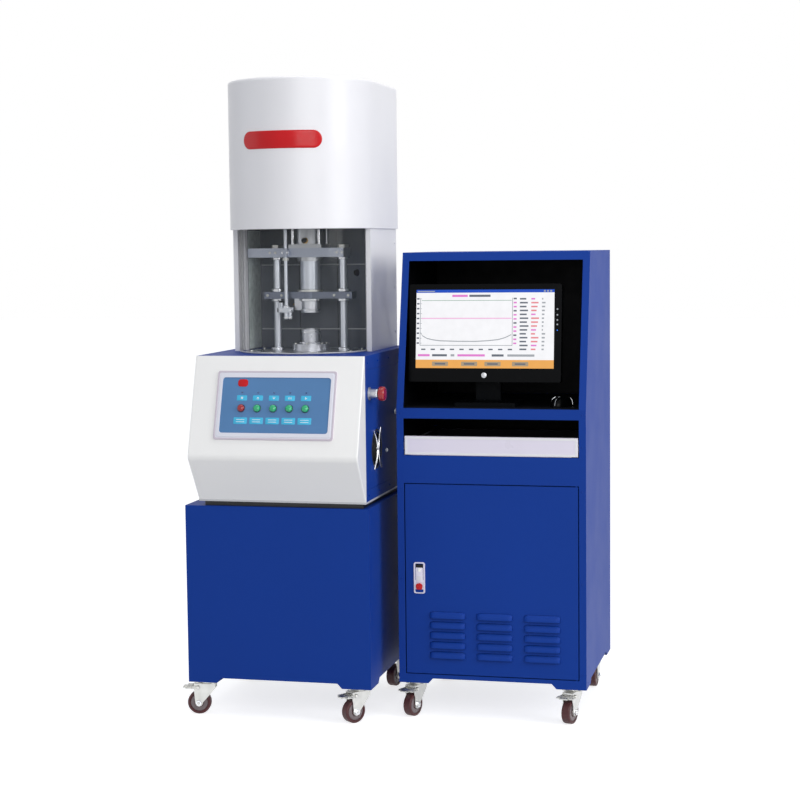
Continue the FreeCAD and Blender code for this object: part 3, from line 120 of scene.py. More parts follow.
def srgb(red, green, blue):
    """Linear colour of an 8-bit screen colour."""
    channels = []
    for value in (red, green, blue):
        share = value / 255
        channels.append(share / 12.92 if share <= 0.04045 else ((share + 0.055) / 1.055) ** 2.4)
    return (*channels, 1)


def shade(colour, factor):
    """The colour made darker or lighter."""
    return (*[min(1, channel * factor) for channel in colour[:3]], 1)


# Nodes

def feed(tree, node, inputs):
    """Link or set a node's inputs, which are given by name or number."""
    for label, value in inputs.items():
        if isinstance(value, bpy.types.NodeSocket):
            tree.links.new(value, node.inputs[label])
        else:
            node.inputs[label].default_value = value
    return node


def add_node(tree, kind, inputs=None, **settings):
    """A new node with its settings and inputs."""
    made = tree.nodes.new(kind)
    for name, value in settings.items():
        setattr(made, name, value)
    return feed(tree, made, inputs or {})


def math_node(tree, operation, first, second):
    """A maths node between two sockets or numbers."""
    return add_node(tree, "ShaderNodeMath", {0: first, 1: second}, operation=operation).outputs[0]


def map_range(tree, value, low, high, to_low=0, to_high=1):
    """A clamped map range node."""
    ends = {"Value": value, "From Min": low, "From Max": high, "To Min": to_low, "To Max": to_high}
    return add_node(tree, "ShaderNodeMapRange", ends).outputs["Result"]


def mix_colour(tree, share, first, second):
    """Mix of two colours or colour sockets."""
    mix = add_node(tree, "ShaderNodeMix", {"Factor": share, "A": first, "B": second}, data_type="RGBA")
    return mix.outputs["Result"]


def own_coordinates(tree):
    """Coordinates of the object itself."""
    return add_node(tree, "ShaderNodeTexCoord").outputs["Object"]


def noise_of(tree, scale, detail, place=None):
    """A noise texture in the object's own coordinates, unless others are given."""
    if place is None:
        place = own_coordinates(tree)
    noise = add_node(tree, "ShaderNodeTexNoise", {"Vector": place, "Scale": scale, "Detail": detail})
    return noise.outputs["Fac"]


def height_of(tree, vector):
    """The Z of a vector socket."""
    return add_node(tree, "ShaderNodeSeparateXYZ", {0: vector}).outputs["Z"]


def soft_normal(tree, radius):
    """Normal with rounded edges."""
    return add_node(tree, "ShaderNodeBevel", {"Radius": radius}, samples=4).outputs["Normal"]


# Shared shader groups

def shader_group(name, inputs, output, kind="NodeSocketFloat"):
    """An empty shader group with float inputs and one output."""
    tree = bpy.data.node_groups.new(name, "ShaderNodeTree")
    for label, default in inputs.items():
        made = tree.interface.new_socket(label, in_out="INPUT", socket_type="NodeSocketFloat")
        made.default_value = default
    tree.interface.new_socket(output, in_out="OUTPUT", socket_type=kind)
    return tree, tree.nodes.new("NodeGroupInput").outputs, tree.nodes.new("NodeGroupOutput")


def cloud_group():
    """Soft large variation from 0 to 1."""
    tree, given, end = shader_group("cloud", {"Scale": 3, "Detail": 4}, "Value")
    noise = noise_of(tree, given["Scale"], given["Detail"])
    feed(tree, end, {"Value": map_range(tree, noise, 0.3, 0.7)})
    return tree


def edge_group():
    """Worn edges, broken up by noise."""
    tree, given, end = shader_group("edge_wear", {"Radius": 0.001, "Amount": 0.5}, "Mask")
    flat = add_node(tree, "ShaderNodeNewGeometry").outputs["Normal"]
    both = {0: soft_normal(tree, given["Radius"]), 1: flat}
    alike = add_node(tree, "ShaderNodeVectorMath", both, operation="DOT_PRODUCT").outputs["Value"]
    bend = map_range(tree, math_node(tree, "SUBTRACT", 1, alike), 0.02, 0.2)
    broken = map_range(tree, noise_of(tree, 38, 5), 0.45, 0.62)
    worn = math_node(tree, "MULTIPLY", bend, broken)
    feed(tree, end, {"Mask": math_node(tree, "MULTIPLY", worn, given["Amount"])})
    return tree


def dust_group():
    """Fine dust that lies on faces that look up."""
    tree, given, end = shader_group("dust", {"Amount": 0.3}, "Mask")
    normal = add_node(tree, "ShaderNodeNewGeometry").outputs["Normal"]
    upward = map_range(tree, height_of(tree, normal), 0.5, 1)
    grains = map_range(tree, noise_of(tree, 14, 8), 0.42, 0.75)
    lying = math_node(tree, "MULTIPLY", upward, grains)
    feed(tree, end, {"Mask": math_node(tree, "MULTIPLY", lying, given["Amount"])})
    return tree


def relief_group():
    """Normal with softened edges and a fine bump."""
    inputs = {"Radius": 0.0008, "Scale": 300, "Height": 0.0001, "Strength": 0.2, "Stretch": 1}
    tree, given, end = shader_group("relief", inputs, "Normal", "NodeSocketVector")
    spread = add_node(tree, "ShaderNodeCombineXYZ", {"X": given["Stretch"], "Y": 1, "Z": 1}).outputs[0]
    both = {0: own_coordinates(tree), 1: spread}
    scaled = add_node(tree, "ShaderNodeVectorMath", both, operation="MULTIPLY").outputs[0]
    bump = add_node(tree, "ShaderNodeBump", {
        "Strength": given["Strength"], "Distance": given["Height"],
        "Height": noise_of(tree, given["Scale"], 2, scaled), "Normal": soft_normal(tree, given["Radius"]),
    })
    feed(tree, end, {"Normal": bump.outputs["Normal"]})
    return tree


def band_group():
    """Level band of a piece between two heights."""
    tree, given, end = shader_group("level_band", {"Low": 0, "High": 1}, "Mask")
    height = height_of(tree, own_coordinates(tree))
    above = math_node(tree, "GREATER_THAN", height, given["Low"])
    below = math_node(tree, "LESS_THAN", height, given["High"])
    feed(tree, end, {"Mask": math_node(tree, "MULTIPLY", above, below)})
    return tree


GROUPS = {"cloud": cloud_group(), "edge": edge_group(), "dust": dust_group(), "relief": relief_group(),
          "band": band_group()}


def use_group(tree, name, **values):
    """One use of a shared group with its inputs set."""
    return add_node(tree, "ShaderNodeGroup", values, node_tree=GROUPS[name]).outputs[0]


# Materials

DUST = srgb(176, 172, 164)


def new_material(name):
    """A material, its tree and its main shader."""
    material = bpy.data.materials.new(name)
    material.use_nodes = True
    return material, material.node_tree, material.node_tree.nodes["Principled BSDF"]


def finish_of(name, colour, rough, spread=0.08, variation=0.12, cloud=3, metallic=0.0, radius=0.8,
              bump=300, height=0.06, strength=0.2, stretch=1, edge=0.0, worn=None, dust=0.0, coat=0.0,
              specular=0.5, band=None):
    """A painted, plastic or metal surface with variation, soft edges, fine bump, wear and dust."""
    material, tree, shader = new_material(name)
    mottled = use_group(tree, "cloud", Scale=cloud, Detail=5)
    colour = srgb(*colour)
    tone = mix_colour(tree, mottled, shade(colour, 1 - variation), shade(colour, 1 + variation))
    if band:
        low, high, band_colour = band
        tone = mix_colour(tree, use_group(tree, "band", Low=low, High=high), tone, srgb(*band_colour))
    if edge:
        tone = mix_colour(tree, use_group(tree, "edge", Radius=radius * MM, Amount=edge), tone, srgb(*worn))
    if dust:
        tone = mix_colour(tree, use_group(tree, "dust", Amount=dust), tone, DUST)
    smears = use_group(tree, "cloud", Scale=cloud * 4, Detail=6)
    feed(tree, shader, {
        "Base Color": tone,
        "Roughness": map_range(tree, smears, 0, 1, max(0.02, rough - spread), rough + spread),
        "Normal": use_group(tree, "relief", Radius=radius * MM, Scale=bump, Height=height * MM,
                            Strength=strength, Stretch=stretch),
        "Metallic": metallic, "Coat Weight": coat, "Specular IOR Level": specular,
    })
    return material


def clear_sheet(name, colour, rough, cover):
    """Thin tinted clear plastic with faint smears, which hides a share of what lies behind it."""
    material, tree, shader = new_material(name)
    mottled = use_group(tree, "cloud", Scale=5, Detail=4)
    smears = use_group(tree, "cloud", Scale=22, Detail=6)
    colour = srgb(*colour)
    feed(tree, shader, {
        "Base Color": mix_colour(tree, mottled, shade(colour, 0.92), shade(colour, 1.06)),
        "Roughness": map_range(tree, smears, 0, 1, rough * 0.6, rough * 1.6),
        "Alpha": map_range(tree, smears, 0, 1, cover * 0.9, cover * 1.1),
    })
    return material


def lit(name, colour, strength=0.85):
    """A surface that glows more than it reflects, such as a lamp or a patch of the screen."""
    material, tree, shader = new_material(name)
    mottled = use_group(tree, "cloud", Scale=40, Detail=3)
    colour = srgb(*colour)
    feed(tree, shader, {
        "Base Color": mix_colour(tree, mottled, shade(colour, 0.1), shade(colour, 0.12)),
        "Emission Color": mix_colour(tree, mottled, shade(colour, 0.97), colour),
        "Emission Strength": strength, "Specular IOR Level": 0.2,
        "Roughness": map_range(tree, mottled, 0, 1, 0.3, 0.4),
    })
    return material


painted = partial(finish_of, bump=420, height=0.05, strength=0.3)
moulded = partial(finish_of, bump=900, height=0.02, strength=0.1)
glossy = partial(finish_of, spread=0.04, bump=300, height=0.02, strength=0.1)
metal = partial(finish_of, metallic=1.0, height=0.02, strength=0.2)

BLUE = painted("blue_powder_coat", (11, 57, 146), 0.52, spread=0.025, variation=0.03, cloud=2,
               strength=0.25, edge=0.15, worn=(50, 98, 188), dust=0.05, specular=0.16)
WHITE = painted("white_powder_coat", (236, 235, 238), 0.36, variation=0.02, edge=0.15,
                worn=(205, 205, 208), dust=0.08)
# Hood white: a brighter, warmer copy of the white coat. The warmer tone is the hood's own; the extra brightness is
# painted light on the hood.
HOOD_WHITE_PAINTED_LIGHT = painted("warm_white_hood_coat", (250, 249, 247), 0.34, spread=0.05, variation=0.015,
                     height=0.04, strength=0.25, edge=0.1, worn=(222, 221, 219), dust=0.04)
GREY_LIGHT = painted("light_grey_coat", (196, 197, 200), 0.4, variation=0.03, edge=0.2,
                     worn=(150, 150, 152), dust=0.12)
BLACK = painted("black_coat", (22, 23, 26), 0.45, variation=0.15, height=0.06, strength=0.35, edge=0.4,
                worn=(80, 80, 82), dust=0.12)
PANEL_FACE = moulded("panel_blue_overlay", (84, 128, 176), 0.36, spread=0.03, variation=0.05, cloud=7,
                     strength=0.12, specular=0.35)
PANEL_RIM = finish_of("panel_silver_rim", (228, 228, 238), 0.36, spread=0.02, variation=0.02, bump=700,
                      height=0.01, strength=0.08)
# Bezel colour: a darkened copy of the panel blue, painted shade for the dark halo round each push button.
SHADED_BEZEL = finish_of("button_bezel_painted_shade", (46, 70, 100), 0.34, spread=0.04, variation=0.1, cloud=40,
                  bump=700, height=0.02, strength=0.2)
LABEL = moulded("cyan_label", (64, 184, 224), 0.36, variation=0.06, cloud=30)
LABEL_TEXT = moulded("pale_print", (214, 228, 240), 0.4, variation=0.04, cloud=40)
RED = glossy("red_gloss_plastic", (200, 6, 18), 0.22, variation=0.06, cloud=12, bump=200, radius=1.2,
             edge=0.5, worn=(128, 4, 12), specular=0.3)
DEEP_RED = glossy("deep_red_gloss_plastic", (158, 8, 24), 0.2, variation=0.1, cloud=30, coat=0.3)
GREEN = glossy("green_gloss_plastic", (14, 172, 112), 0.16, variation=0.1, cloud=30, coat=0.4)
BLACK_PLASTIC = moulded("black_plastic", (16, 16, 18), 0.46, variation=0.12, cloud=9, height=0.05,
                        strength=0.4, edge=0.15, worn=(46, 46, 48), dust=0.04, specular=0.25)
GLOSS_BLACK = glossy("gloss_black_plastic", (5, 6, 8), 0.24, variation=0.1, cloud=6, height=0.01,
                     specular=0.07)
ALUMINIUM = metal("satin_aluminium", (186, 188, 192), 0.34, variation=0.06, cloud=14, bump=260,
                  strength=0.25, stretch=0.08, radius=0.5)
CHROME = metal("polished_chrome", (232, 234, 238), 0.15, spread=0.04, variation=0.02, cloud=18, bump=120,
               height=0.01, strength=0.08, radius=0.5)
MACHINED = metal("machined_steel", (214, 216, 222), 0.32, spread=0.05, variation=0.04, cloud=20,
                 bump=500, height=0.015, stretch=0.1, radius=0.5)
ZINC = metal("zinc_plated_steel", (208, 208, 204), 0.36, variation=0.08, cloud=45, bump=220, radius=0.6,
             edge=0.2, worn=(232, 232, 228), dust=0.08)
TYRE = finish_of("maroon_tyre", (70, 24, 28), 0.5, spread=0.14, variation=0.2, cloud=35, bump=240,
                 height=0.12, strength=0.5, radius=1.0, edge=0.25, worn=(110, 70, 70), dust=0.3)
PEDAL = metal("zinc_plated_pedal", (188, 188, 184), 0.3, variation=0.12, cloud=30, bump=240, height=0.05,
              strength=0.3, edge=0.4, worn=(226, 226, 222), dust=0.1)
BRASS = metal("brass_fitting", (186, 150, 80), 0.26, variation=0.1, cloud=40, radius=0.4)
LAVENDER = finish_of("lavender_outline", (206, 196, 208), 0.4, spread=0.03, variation=0.03, bump=700,
                     height=0.01, strength=0.1)
FROSTED = finish_of("frosted_side_panel", (196, 206, 202), 0.55, spread=0.2, variation=0.24, cloud=60,
                    bump=90, height=0.4, strength=0.8)
HUB = finish_of("grey_hub_disc", (120, 108, 110), 0.4, variation=0.14, cloud=40, bump=400, height=0.04,
                strength=0.3, edge=0.3, worn=(170, 165, 165), dust=0.2)
LAMP_DARK = finish_of("unlit_lamp", (56, 82, 128), 0.14, variation=0.1, cloud=60, bump=100, height=0.01,
                      strength=0.1, coat=0.4)
GUARD = clear_sheet("smoked_guard", (70, 76, 78), 0.06, 0.13)
CHAMBER = painted("chamber_grey_coat", (98, 102, 112), 0.4, variation=0.14, cloud=5, bump=380)
PLATE_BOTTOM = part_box("crosshead")[0].z
BEAM_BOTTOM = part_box("air_cylinder")[0].z + 0.013
bright = partial(finish_of, rough=0.3, spread=0.01, metallic=0.8, variation=0.02, cloud=6, radius=0.3,
                 bump=900, height=0.001, strength=0.02)
DARK_STEEL = bright("bright_ram_dark_plate", (214, 219, 228),
                    band=(PLATE_BOTTOM - 0.001, PLATE_BOTTOM + 0.0221, (120, 126, 142)))
BEAM = bright("bright_posts_grey_beam", (220, 224, 232),
              band=(BEAM_BOTTOM - 0.0002, BEAM_BOTTOM + 0.0302, (172, 178, 192)))
# Near-black paint for the inside of the monitor bay, the gap round the keyboard drawer and the drawer's inner
# walls: painted shade where these hollows lie in shadow.
PAINTED_SHADE = painted("dark_bay_lining", (8, 9, 14), 0.5, variation=0.25, cloud=6, height=0.04, strength=0.25,
                 specular=0.15)
DRAWER_WHITE = painted("lilac_white_coat", (232, 226, 240), 0.34, variation=0.02, height=0.04,
                       strength=0.25, edge=0.15, worn=(200, 196, 208))
KEYCAP = moulded("keycap_plastic", (9, 9, 11), 0.6, variation=0.1, cloud=30, height=0.04, strength=0.4,
                 specular=0.1)
DIM_BLACK = moulded("dim_black_plastic", (5, 7, 10), 0.5, variation=0.1, cloud=12, height=0.03,
                    strength=0.2, specular=0.06)
SCREEN_WHITE = lit("screen_white", (250, 250, 253), 0.88)
SCREEN_BLUE = lit("screen_title_blue", (24, 78, 196))
SCREEN_GREY = lit("screen_grey", (168, 172, 178))
SCREEN_BUTTON = lit("screen_button_grey", (176, 156, 128))
SCREEN_DARK = lit("screen_dark_print", (104, 110, 122))
SCREEN_MAGENTA = lit("screen_magenta_print", (232, 132, 214))
SCREEN_PINK = lit("screen_pink_line", (246, 180, 226))
SCREEN_RED = lit("screen_red_print", (236, 142, 150))
SCREEN_ORANGE = lit("screen_orange_bar", (244, 176, 92))
SCREEN_GREEN = lit("screen_pale_green_line", (160, 186, 172))
LAMP_BLUE = lit("blue_lamp", (60, 130, 255), 1.5)

SLOT_MATERIALS = {
    "blue_coat": BLUE, "white_coat": WHITE, "black_coat": BLACK, "panel_face": PANEL_FACE,
    "red_plastic": RED, "green_plastic": GREEN, "black_plastic": BLACK_PLASTIC,
    "screen_plastic": GLOSS_BLACK, "grey_metal": ALUMINIUM, "bright_steel": CHROME,
    "machined_steel": MACHINED, "zinc": ZINC, "castor_tyre": TYRE, "castor_pedal": PEDAL,
    "guard_clear": GUARD,
}
NODE_MATERIALS = {
    "monitor_stand": DIM_BLACK, "keyboard": DIM_BLACK, "base_plate": GREY_LIGHT, "chamber_liner": CHAMBER,
    "press_frame": BEAM, "crosshead": DARK_STEEL, "front_hood": HOOD_WHITE_PAINTED_LIGHT, "drawer": DRAWER_WHITE,
    "button_stop": DEEP_RED, "estop_button": DEEP_RED,
}


def dress_nodes():
    """Give every CAD node the material of its slot in the record, or its own where it has one."""
    for part in frame["record"]["subparts"]:
        materials = NODES[part["node"]].data.materials
        materials.clear()
        materials.append(NODE_MATERIALS.get(part["node"], SLOT_MATERIALS[part["material_slot"]]))


dress_nodes()


# Outlines

def rounded_rectangle(width, height, radius, steps=5):
    """Outline of a rectangle with round corners, centred on the origin."""
    points = []
    for across, up, start in ((1, 1, 0), (-1, 1, 90), (-1, -1, 180), (1, -1, 270)):
        centre = (across * (width / 2 - radius), up * (height / 2 - radius))
        for step in range(steps + 1):
            angle = math.radians(start + 90 * step / steps)
            points.append((centre[0] + radius * math.cos(angle), centre[1] + radius * math.sin(angle)))
    return points


def rectangle(left, low, right, high):
    """Outline of a plain rectangle between two corners."""
    return [(left, low), (right, low), (right, high), (left, high)]


def shrunk(point, inwards):
    """A point of an outline round the origin, moved towards it."""
    length = math.hypot(*point)
    share = (length - inwards) / length
    return point[0] * share, point[1] * share


def round_like(outline, radius):
    """A circle with one point for each point of an outline, at the same angle."""
    return [(radius * x / math.hypot(x, y), radius * y / math.hypot(x, y)) for x, y in outline]


def on_circle(radius, count, shift=0.0):
    """Points evenly spaced round the origin, turned on by a share of a step."""
    angles = [2 * math.pi * (step + shift) / count for step in range(count)]
    return [(radius * math.cos(angle), radius * math.sin(angle)) for angle in angles]


# Mesh building

class Piece:
    """A mesh put together from simple shapes in millimetres, each with its own material."""

    def __init__(self, name, body=ROOT, place=TESTER):
        self.name = name
        self.body = body
        self.place = place
        self.mesh = bpy.data.meshes.new(name)
        self.shapes = bmesh.new()

    def keep(self, shape, material, place=None):
        """Move a finished shape into place and add it to the piece."""
        bmesh.ops.recalc_face_normals(shape, faces=shape.faces)
        if material.name not in self.mesh.materials:
            self.mesh.materials.append(material)
        index = self.mesh.materials.find(material.name)
        for face in shape.faces:
            face.material_index = index
            face.smooth = True
        shape.transform(self.place @ (place or Matrix()))
        passing = bpy.data.meshes.new("passing")
        shape.to_mesh(passing)
        shape.free()
        self.shapes.from_mesh(passing)
        bpy.data.meshes.remove(passing)

    def box(self, low, high, material, soft=0.0, place=None, segments=2):
        """A block between two corners with rounded edges."""
        shape = bmesh.new()
        bmesh.ops.create_cube(shape, size=1)
        low, high = Vector(low), Vector(high)
        for vertex in shape.verts:
            vertex.co = (low + high) / 2 + Vector([vertex.co[i] * (high[i] - low[i]) for i in range(3)])
        if soft:
            bmesh.ops.bevel(shape, geom=shape.edges[:], offset=soft, segments=segments, profile=0.5,
                            affect="EDGES")
        self.keep(shape, material, place)

    def prism(self, outline, low, high, material, soft=0.0, place=None, segments=2):
        """A flat outline raised along local Z, with the two rims rounded."""
        shape = bmesh.new()
        face = shape.faces.new([shape.verts.new((x, y, low)) for x, y in outline])
        top = bmesh.ops.extrude_face_region(shape, geom=[face])["geom"]
        raised = [vertex for vertex in top if isinstance(vertex, bmesh.types.BMVert)]
        bmesh.ops.translate(shape, vec=(0, 0, high - low), verts=raised)
        if soft:
            rims = [edge for edge in shape.edges if abs(edge.verts[0].co.z - edge.verts[1].co.z) < 1e-4]
            bmesh.ops.bevel(shape, geom=rims, offset=soft, segments=segments, profile=0.5, affect="EDGES")
        self.keep(shape, material, place)

    def plate(self, middle, size, low, high, material, soft=0.0, place=None, segments=2):
        """A rounded plate of a width, height and corner radius round a point, raised along local Z."""
        outline = [(middle[0] + x, middle[1] + y) for x, y in rounded_rectangle(*size)]
        self.prism(outline, low, high, material, soft, place, segments)

    def turned(self, profile, material, place=None, steps=40):
        """A profile of (radius, height) points turned round local Z."""
        shape = bmesh.new()
        rings = []
        for radius, height in profile:
            points = on_circle(radius, steps) if radius >= 1e-4 else [(0, 0)]
            rings.append([shape.verts.new((*point, height)) for point in points])
        for lower, upper in zip(rings, rings[1:]):
            for step in range(steps):
                after = (step + 1) % steps
                corners = [lower[step % len(lower)], lower[after % len(lower)], upper[after % len(upper)],
                           upper[step % len(upper)]]
                unique = list(dict.fromkeys(corners))
                if len(unique) > 2:
                    shape.faces.new(unique)
        bmesh.ops.remove_doubles(shape, verts=shape.verts, dist=1e-5)
        self.keep(shape, material, place)

    def pin(self, radius, low, high, material, chamfer=(0, 0), place=None, steps=40):
        """A round pin whose top rim is cut by a width and a height."""
        across, down = chamfer
        rim = [(radius, high - down)] + ([(radius - across, high)] if across else [])
        self.turned([(0, low), (radius, low)] + rim + [(0, high)], material, place, steps)

    def rim(self, outer, inner, low, high, material, soft=0.0, place=None):
        """A flat frame between two outlines with the same number of points."""
        shape = bmesh.new()
        levels = ((outer, low, 0), (outer, high - soft, 0), (outer, high, soft), (inner, high, -soft),
                  (inner, high - soft, 0), (inner, low, 0))
        loops = [[shape.verts.new((*shrunk(point, inwards), level)) for point in outline]
                 for outline, level, inwards in levels]
        for lower, upper in zip(loops, loops[1:] + loops[:1]):
            self.joined(shape, lower, upper)
        bmesh.ops.remove_doubles(shape, verts=shape.verts, dist=1e-5)
        self.keep(shape, material, place)

    @staticmethod
    def joined(shape, lower, upper):
        """Faces between two closed loops."""
        for step in range(len(lower)):
            after = (step + 1) % len(lower)
            shape.faces.new([lower[step], lower[after], upper[after], upper[step]])

    def nut(self, radius, low, high, material, hole=0, soft=0.0, place=None):
        """A hexagon, with a round hole where one is given."""
        outline = on_circle(radius, 6)
        if hole:
            self.rim(outline, round_like(outline, hole), low, high, material, soft, place)
        else:
            self.prism(outline, low, high, material, soft, place)

    def ring(self, inner, outer, low, high, material, soft=0.0, place=None, steps=40):
        """A washer with softened rims."""
        edge = soft or min(outer - inner, high - low) * 0.2
        profile = [(inner, low), (outer - edge, low), (outer, low + edge), (outer, high - edge),
                   (outer - edge, high), (inner + edge, high), (inner, high - edge), (inner, low)]
        self.turned(profile, material, place, steps)

    def tube(self, points, radius, material, sides=8, closed=False):
        """A round bar along a line of points."""
        shape = bmesh.new()
        path = [Vector(point) for point in points]
        normal = None
        rings = []
        for step, here in enumerate(path):
            before = path[step - 1] if closed or step else here
            after = path[(step + 1) % len(path)] if closed or step < len(path) - 1 else here
            along = (after - before).normalized()
            if normal is None:
                normal = along.orthogonal().normalized()
            normal = (normal - along * normal.dot(along)).normalized()
            other = along.cross(normal)
            angles = [2 * math.pi * side / sides for side in range(sides)]
            rings.append([shape.verts.new(here + (normal * math.cos(a) + other * math.sin(a)) * radius)
                          for a in angles])
        for lower, upper in zip(rings, rings[1:] + (rings[:1] if closed else [])):
            self.joined(shape, lower, upper)
        if not closed:
            shape.faces.new(rings[0])
            shape.faces.new(rings[-1])
        self.keep(shape, material)

    def sheets(self, sheets, material):
        """Sheets through rows of points, joined where their edges meet."""
        shape = bmesh.new()
        for rows in sheets:
            made = [[shape.verts.new(point) for point in row] for row in rows]
            for lower, upper in zip(made, made[1:]):
                for step in range(len(lower) - 1):
                    shape.faces.new([lower[step], lower[step + 1], upper[step + 1], upper[step]])
        bmesh.ops.remove_doubles(shape, verts=shape.verts, dist=1e-3)
        self.keep(shape, material)

    def shown(self, sharp=35):
        """The finished mesh as an object of the scene."""
        self.shapes.to_mesh(self.mesh)
        self.shapes.free()
        self.mesh.set_sharp_from_angle(angle=math.radians(sharp))
        return new_object(self.name, self.mesh)

    def done(self, sharp=35):
        """Make the object, let it ride on its body and return it."""
        made = self.shown(sharp)
        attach(made, self.body)
        return made


# Geometry Nodes for what repeats

TURN_SPREAD = 3.1
TURN_SEED = 7


def repeat_tree():
    """Copies of one object on every point of a mesh, each turned to the point's aim."""
    tree = bpy.data.node_groups.new("repeat_on_points", "GeometryNodeTree")
    for label, kind in (("Points", "Geometry"), ("Copied", "Object"), ("Size", "Float"),
                        ("Turn Spread", "Float"), ("Seed", "Int"), ("Finish", "Material")):
        tree.interface.new_socket(label, in_out="INPUT", socket_type="NodeSocket" + kind)
    tree.interface.new_socket("Made", in_out="OUTPUT", socket_type="NodeSocketGeometry")
    given = tree.nodes.new("NodeGroupInput").outputs
    end = tree.nodes.new("NodeGroupOutput")
    source = add_node(tree, "GeometryNodeObjectInfo", {"Object": given["Copied"]})
    aim = add_node(tree, "GeometryNodeInputNamedAttribute", {"Name": "aim"}, data_type="FLOAT_VECTOR")
    align = add_node(tree, "FunctionNodeAlignRotationToVector", {"Vector": aim.outputs["Attribute"]},
                     axis="Z")
    reverse = math_node(tree, "MULTIPLY", given["Turn Spread"], -1)
    limits = {2: reverse, 3: given["Turn Spread"], "Seed": given["Seed"]}
    spin = add_node(tree, "FunctionNodeRandomValue", limits, data_type="FLOAT")
    about = add_node(tree, "FunctionNodeAxisAngleToRotation", {"Axis": (0, 0, 1), "Angle": spin.outputs[1]})
    both = {"Rotation": align.outputs["Rotation"], "Rotate By": about.outputs["Rotation"]}
    turned = add_node(tree, "FunctionNodeRotateRotation", both, rotation_space="LOCAL")
    copies = add_node(tree, "GeometryNodeInstanceOnPoints", {
        "Points": given["Points"], "Instance": source.outputs["Geometry"],
        "Rotation": turned.outputs["Rotation"], "Scale": given["Size"],
    })
    real = add_node(tree, "GeometryNodeRealizeInstances", {"Geometry": copies.outputs["Instances"]})
    finish = add_node(tree, "GeometryNodeSetMaterial",
                      {"Geometry": real.outputs["Geometry"], "Material": given["Finish"]})
    feed(tree, end, {"Made": finish.outputs["Geometry"]})
    return tree


REPEAT = repeat_tree()


def repeated(name, places, copied, material, body=ROOT, unit=TESTER, size=1.0, spread=TURN_SPREAD):
    """Copies of an object at (point, aim) places of a unit, as one plain mesh that rides on a body."""
    turn = unit.to_quaternion()
    points = bpy.data.meshes.new(name + "_points")
    points.from_pydata([unit @ Vector(point) for point, _ in places], [], [])
    aims = points.attributes.new("aim", "FLOAT_VECTOR", "POINT")
    aims.data.foreach_set("vector", [value for _, aim in places for value in turn @ Vector(aim)])
    holder = new_object(name + "_holder", points)
    modifier = holder.modifiers.new("repeat", "NODES")
    modifier.node_group = REPEAT
    sockets = {item.name: item.identifier for item in REPEAT.interface.items_tree
               if item.in_out == "INPUT"}
    for label, value in (("Copied", copied), ("Size", size), ("Turn Spread", spread),
                         ("Seed", TURN_SEED), ("Finish", material)):
        modifier[sockets[label]] = value
    bpy.context.view_layer.update()
    evaluated = holder.evaluated_get(bpy.context.evaluated_depsgraph_get())
    mesh = bpy.data.meshes.new_from_object(evaluated)
    mesh.name = name
    holder.modifiers.remove(modifier)
    bpy.data.objects.remove(holder)
    made = new_object(name, mesh)
    if not mesh.materials:
        mesh.materials.append(material)
    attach(made, body)
    return made


def pattern(name, build):
    """A hidden object that repeated() copies."""
    piece = Piece(name, place=Matrix.Scale(MM, 4))
    build(piece)
    made = piece.shown()
    made.hide_render = True
    return made


# Camera, lights and floor

PHOTO_SIDE = 800
CAMERA_FOCAL_PX = 1821.4
CAMERA_YAW = 13.69
CAMERA_PITCH = 4.88
CAMERA_ROLL = -0.64
CAMERA_FROM_CORNER = Vector((2.0310, -5.4290, 1.5039))
CAMERA_SENSOR = 36
CAMERA_REACH = 60
FLOOR_LIFT = 0.74


def make_camera():
    """Camera at the photograph's angle."""
    yaw, pitch, roll = (math.radians(a) for a in (CAMERA_YAW, CAMERA_PITCH, CAMERA_ROLL))
    forward = Vector((-math.sin(yaw) * math.cos(pitch), math.cos(yaw) * math.cos(pitch), -math.sin(pitch)))
    level = Vector((math.cos(yaw), math.sin(yaw), 0))
    above = level.cross(forward)
    right = level * math.cos(roll) + above * math.sin(roll)
    up = above * math.cos(roll) - level * math.sin(roll)
    data = bpy.data.cameras.new("camera")
    data.sensor_width = CAMERA_SENSOR
    data.lens = CAMERA_FOCAL_PX * CAMERA_SENSOR / PHOTO_SIDE
    data.clip_end = CAMERA_REACH
    camera = new_object("camera", data)
    turn = Matrix((right, up, -forward)).transposed().to_4x4()
    camera.matrix_world = Matrix.Translation(TESTER.translation + CAMERA_FROM_CORNER) @ turn
    bpy.context.scene.camera = camera


def area_light(name, place, size, power, colour=(1, 1, 1)):
    """A soft box aimed at the middle of the object."""
    data = bpy.data.lights.new(name, "AREA")
    data.shape = "RECTANGLE"
    data.size, data.size_y = size
    data.energy = power
    data.color = colour
    light = new_object(name, data)
    light.location = place
    light.rotation_euler = (Vector((0, 0, 1)) - Vector(place)).to_track_quat("-Z", "Y").to_euler()


def seen_directly(tree):
    """1 for what the camera sees itself, in a mirror or through a clear sheet."""
    path = add_node(tree, "ShaderNodeLightPath").outputs
    mirrored = math_node(tree, "MAXIMUM", path["Is Glossy Ray"], path["Is Transmission Ray"])
    return math_node(tree, "MAXIMUM", path["Is Camera Ray"], mirrored)


def make_world():
    """White to look at and in mirrors, softer as a light."""
    world = bpy.data.worlds.new("studio")
    bpy.context.scene.world = world
    world.use_nodes = True
    tree = world.node_tree
    tree.nodes.clear()
    seen = add_node(tree, "ShaderNodeBackground", {"Color": (1, 1, 1, 1), "Strength": 1.0})
    cast = add_node(tree, "ShaderNodeBackground", {"Color": (0.9, 0.94, 1, 1), "Strength": 0.4})
    mix = add_node(tree, "ShaderNodeMixShader", {0: seen_directly(tree), 1: cast.outputs[0],
                                                 2: seen.outputs[0]})
    add_node(tree, "ShaderNodeOutputWorld", {"Surface": mix.outputs[0]})


